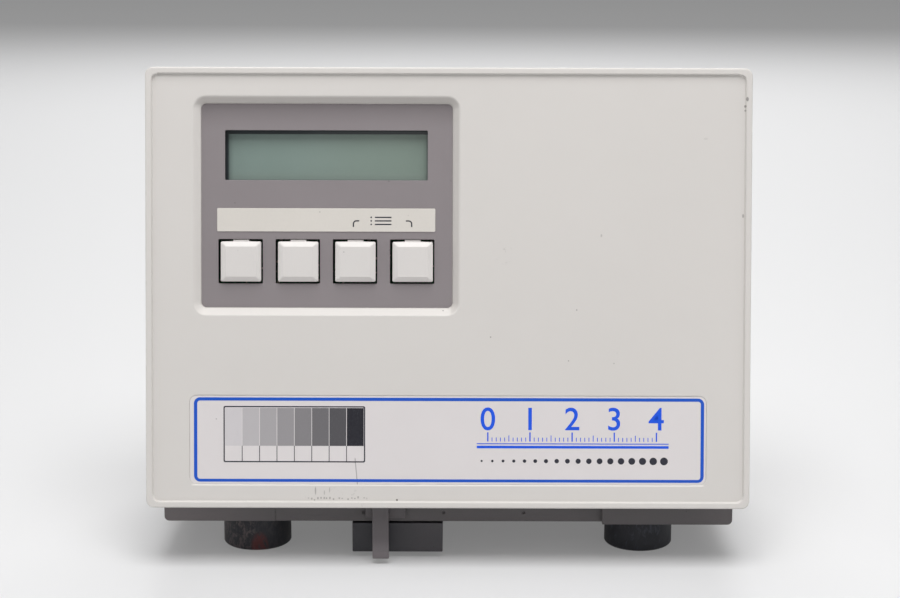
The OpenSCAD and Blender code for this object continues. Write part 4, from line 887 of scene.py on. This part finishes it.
def finished(name, bm, material):
    """Closes a bmesh into a piece on the face."""
    bmesh.ops.recalc_face_normals(bm, faces=bm.faces)
    mesh = bpy.data.meshes.new(name)
    bm.to_mesh(mesh)
    bm.free()
    mesh.transform(FACE)
    label_piece(name, mesh, material)


# ---------------------------------------------------------------- legend strip and prints


def legend_strip():
    """The pale bar over the keys, stuck to the control panel."""
    film = moulded(
        "legend_film", srgb(217, 212, 205),
        rough=0.35, grain=0.8, depth=0.002, radius=0.12, wear=0.2, corner_shade=0.15,
    )
    bm = bmesh.new()
    slab(bm, rounded(LEGEND, 0.35, 4), *LEGEND_U, inset=0.05)
    finished("legend_strip", bm, film)


def bracket(bm, x, w, side):
    """Square bracket end with a rounded shoulder: side is -1 for the left one."""
    thick, r, leg, arm = 0.42, 1.0, 2.0, 0.9
    path = [(x, w - leg)]
    for i in range(6):
        a = math.radians(90.0 * i / 5)
        path.append((x - side * (r - r * math.cos(a)), w - r + r * math.sin(a)))
    path.append((x - side * (r + arm), w))
    left, right = [], []
    for i, (px, pw) in enumerate(path):
        ax, aw = path[max(0, i - 1)]
        bx, bw = path[min(len(path) - 1, i + 1)]
        length = math.hypot(bx - ax, bw - aw)
        across_x = (bw - aw) / length * thick / 2
        across_w = (bx - ax) / length * thick / 2
        left.append((px - across_x, pw + across_w))
        right.append((px + across_x, pw - across_w))
    slab(bm, left + right[::-1], *LEGEND_PRINT_U)


def legend_print(black):
    """A pair of bracket ends joins the two right keys, with a plain list glyph between them."""
    bm = bmesh.new()
    bracket(bm, BRACKET_LEFT, BRACKET_W, -1)
    bracket(bm, BRACKET_RIGHT, BRACKET_W, 1)
    for i in range(3):
        w = LIST_TOP - i * LIST_PITCH
        slab(bm, square(LIST_LEFT, w - 0.2, LIST_RIGHT, w + 0.2), *LEGEND_PRINT_U)
        slab(bm, disc(LIST_DOT_X, w, 0.27, 12), *LEGEND_PRINT_U)
    finished("legend_print", bm, black)


def blue_outline(blue):
    """The rounded line around the label."""
    bm = bmesh.new()
    frame_ring(bm, rounded(OUTLINE_OUTER, 2.0), rounded(OUTLINE_INNER, 0.9), *PRINT_U)
    finished("label_print_blue", bm, blue)


def density_scale(blue):
    """Two rules and the ticks on them: long at a numeral, middling halfway between two."""
    bm = bmesh.new()
    for area in RULES:
        slab(bm, square(*area), *PRINT_U)
    for i in range(TOP_NUMERAL * TICKS + 1):
        x = SCALE_ZERO + i * NUMERAL_PITCH / TICKS
        at_numeral = i % TICKS == 0
        halfway = i % (TICKS // 2) == 0
        top = LONG_TOP if at_numeral else (MIDDLE_TOP if halfway else SHORT_TOP)
        half = 0.22 if at_numeral else 0.13
        slab(bm, square(x - half, TICK_FOOT, x + half, top), *PRINT_U)
    finished("label_print_scale", bm, blue)


def numeral(text, x, material):
    """Text lies in XY and faces +Z; on the label it faces the front."""
    front, back = PRINT_U
    curve = bpy.data.curves.new("numeral_" + text, "FONT")
    curve.body = text
    curve.size = NUMERAL_SIZE
    curve.align_x = "CENTER"
    curve.offset = 0.07
    curve.extrude = (back - front) / 2
    obj = linked("numeral_" + text, curve)
    mesh = as_shown(obj)
    bpy.data.objects.remove(obj)
    place = Matrix.Translation((x, (front + back) / 2, NUMERAL_W))
    mesh.transform(FACE @ place @ Matrix.Rotation(math.radians(90.0), 4, "X"))
    label_piece("numeral_" + text, mesh, material)


def wedge_frame_and_dots(black):
    """The step wedge's frame and dividers, and a row of growing dots under the scale."""
    left, low, right, high = WEDGE
    bm = bmesh.new()
    frame_ring(bm, rounded(grown(WEDGE, 0.4), 0.5, 2), rounded(WEDGE, 0.3, 2), *PRINT_U)
    for i in range(1, WEDGE_STEPS):
        x = left + i * WEDGE_PITCH
        slab(bm, square(x - 0.12, low, x + 0.12, WEDGE_FOOT), *PRINT_U)
    for i in range(DOTS):
        slab(bm, disc(DOT_LEFT + i * DOT_PITCH, DOT_W, 0.35 + i * 0.055, 18), *PRINT_U)
    finished("label_print_black", bm, black)


def wedge_steps():
    """The steps stand clear of each other and of the frame, a hair behind its front."""
    left, low, right, high = WEDGE
    front, back = PRINT_U
    gap = 0.2
    bm = bmesh.new()
    for i in range(WEDGE_STEPS):
        x = left + i * WEDGE_PITCH
        step = square(x + gap / 2, WEDGE_FOOT, x + WEDGE_PITCH - gap / 2, high - gap)
        slab(bm, step, front + 0.005, back)
    finished("label_print_wedge", bm, wedge_ink())


black_ink = ink("black_ink", srgb(40, 40, 52))
bright_blue_ink = ink("bright_blue_ink", srgb(0, 84, 226))

legend_strip()
legend_print(black_ink)
blue_outline(ink("blue_ink", srgb(4, 82, 196)))
density_scale(bright_blue_ink)
for value in range(TOP_NUMERAL + 1):
    numeral(str(value), SCALE_ZERO + value * NUMERAL_PITCH, bright_blue_ink)
wedge_frame_and_dots(black_ink)
wedge_steps()

# ---------------------------------------------------------------- stage, light and camera

CAMERA_PLACE = (0.00055, -0.70956, 0.2322)
CAMERA_DOWN, CAMERA_ROLL = 12.16, 0.15  # degrees
CAMERA_LENS = 84.24
AIM = Vector((0.0, 0.0, 0.08))  # all lights point here

# Name, azimuth and elevation in degrees, distance, size, and the white diffuse brightness given head on.
LIGHTS = (
    ("key_light", 4.0, 69.0, 1.5, 1.0, 1.02),
    ("back_light", 178.0, 33.0, 1.7, 1.1, 0.52),
    ("fill_light", 14.0, 18.0, 2.4, 1.6, 0.07),
    ("left_light", -80.0, 18.0, 2.2, 1.6, 0.22),
    ("right_light", 80.0, 18.0, 2.2, 1.6, 0.18),
)


def stage_floor():
    mat = bpy.data.materials.new("stage_floor")
    mat.use_nodes = True
    shader = mat.node_tree.nodes["Principled BSDF"]
    shader.inputs["Base Color"].default_value = (0.54, 0.54, 0.545, 1.0)
    shader.inputs["Emission Color"].default_value = (1.0, 1.0, 1.0, 1.0)
    shader.inputs["Emission Strength"].default_value = 0.17
    shader.inputs["Roughness"].default_value = 0.6
    shader.inputs["Specular IOR Level"].default_value = 0.2
    bm = bmesh.new()
    bmesh.ops.create_grid(bm, x_segments=1, y_segments=1, size=12.0)
    mesh = bpy.data.meshes.new("stage_floor")
    bm.to_mesh(mesh)
    bm.free()
    mesh.materials.append(mat)
    floor = linked("stage_floor", mesh)


def area_light(name, azimuth, elevation, distance, size, level):
    """A square light aimed at the object."""
    data = bpy.data.lights.new(name, "AREA")
    data.shape = "SQUARE"
    data.size = size
    data.energy = math.pi**2 * distance**2 * level
    obj = linked(name, data)
    a, e = math.radians(azimuth), math.radians(elevation)
    back = Vector((math.sin(a) * math.cos(e), -math.cos(a) * math.cos(e), math.sin(e)))
    obj.location = AIM + back * distance
    obj.rotation_mode = "QUATERNION"
    obj.rotation_quaternion = back.to_track_quat("Z", "Y")


def studio():
    """Dim even light from all round, which the camera sees as a pale wall."""
    world = bpy.data.worlds.new("studio")
    bpy.context.scene.world = world
    world.use_nodes = True
    tree = world.node_tree
    tree.nodes.clear()
    path = tree.nodes.new("ShaderNodeLightPath")
    seen = tree.nodes.new("ShaderNodeMath")
    seen.operation = "MAXIMUM"
    tree.links.new(path.outputs["Is Camera Ray"], seen.inputs[0])
    tree.links.new(path.outputs["Is Transmission Ray"], seen.inputs[1])
    ambient = tree.nodes.new("ShaderNodeBackground")
    ambient.inputs["Strength"].default_value = 0.15
    wall = tree.nodes.new("ShaderNodeBackground")
    wall.inputs["Color"].default_value = (0.93, 0.93, 0.93, 1.0)
    wall.inputs["Strength"].default_value = 1.0
    blend = tree.nodes.new("ShaderNodeMixShader")
    tree.links.new(seen.outputs[0], blend.inputs[0])
    tree.links.new(ambient.outputs[0], blend.inputs[1])
    tree.links.new(wall.outputs[0], blend.inputs[2])
    out = tree.nodes.new("ShaderNodeOutputWorld")
    tree.links.new(blend.outputs[0], out.inputs["Surface"])


def photo_camera():
    """Stands in front of the object, a little above it, and looks down at it."""
    lens = bpy.data.cameras.new("camera")
    lens.lens = CAMERA_LENS
    lens.sensor_width = 36.0
    lens.clip_start, lens.clip_end = 0.01, 60.0
    camera = linked("camera", lens)
    camera.matrix_world = (
        Matrix.Translation(CAMERA_PLACE)
        @ Matrix.Rotation(math.radians(90.0 - CAMERA_DOWN), 4, "X")
        @ Matrix.Rotation(math.radians(CAMERA_ROLL), 4, "Z")
    )
    bpy.context.scene.camera = camera


stage_floor()
for light in LIGHTS:
    area_light(*light)
studio()
photo_camera()
bpy.context.scene.view_settings.view_transform = "Standard"
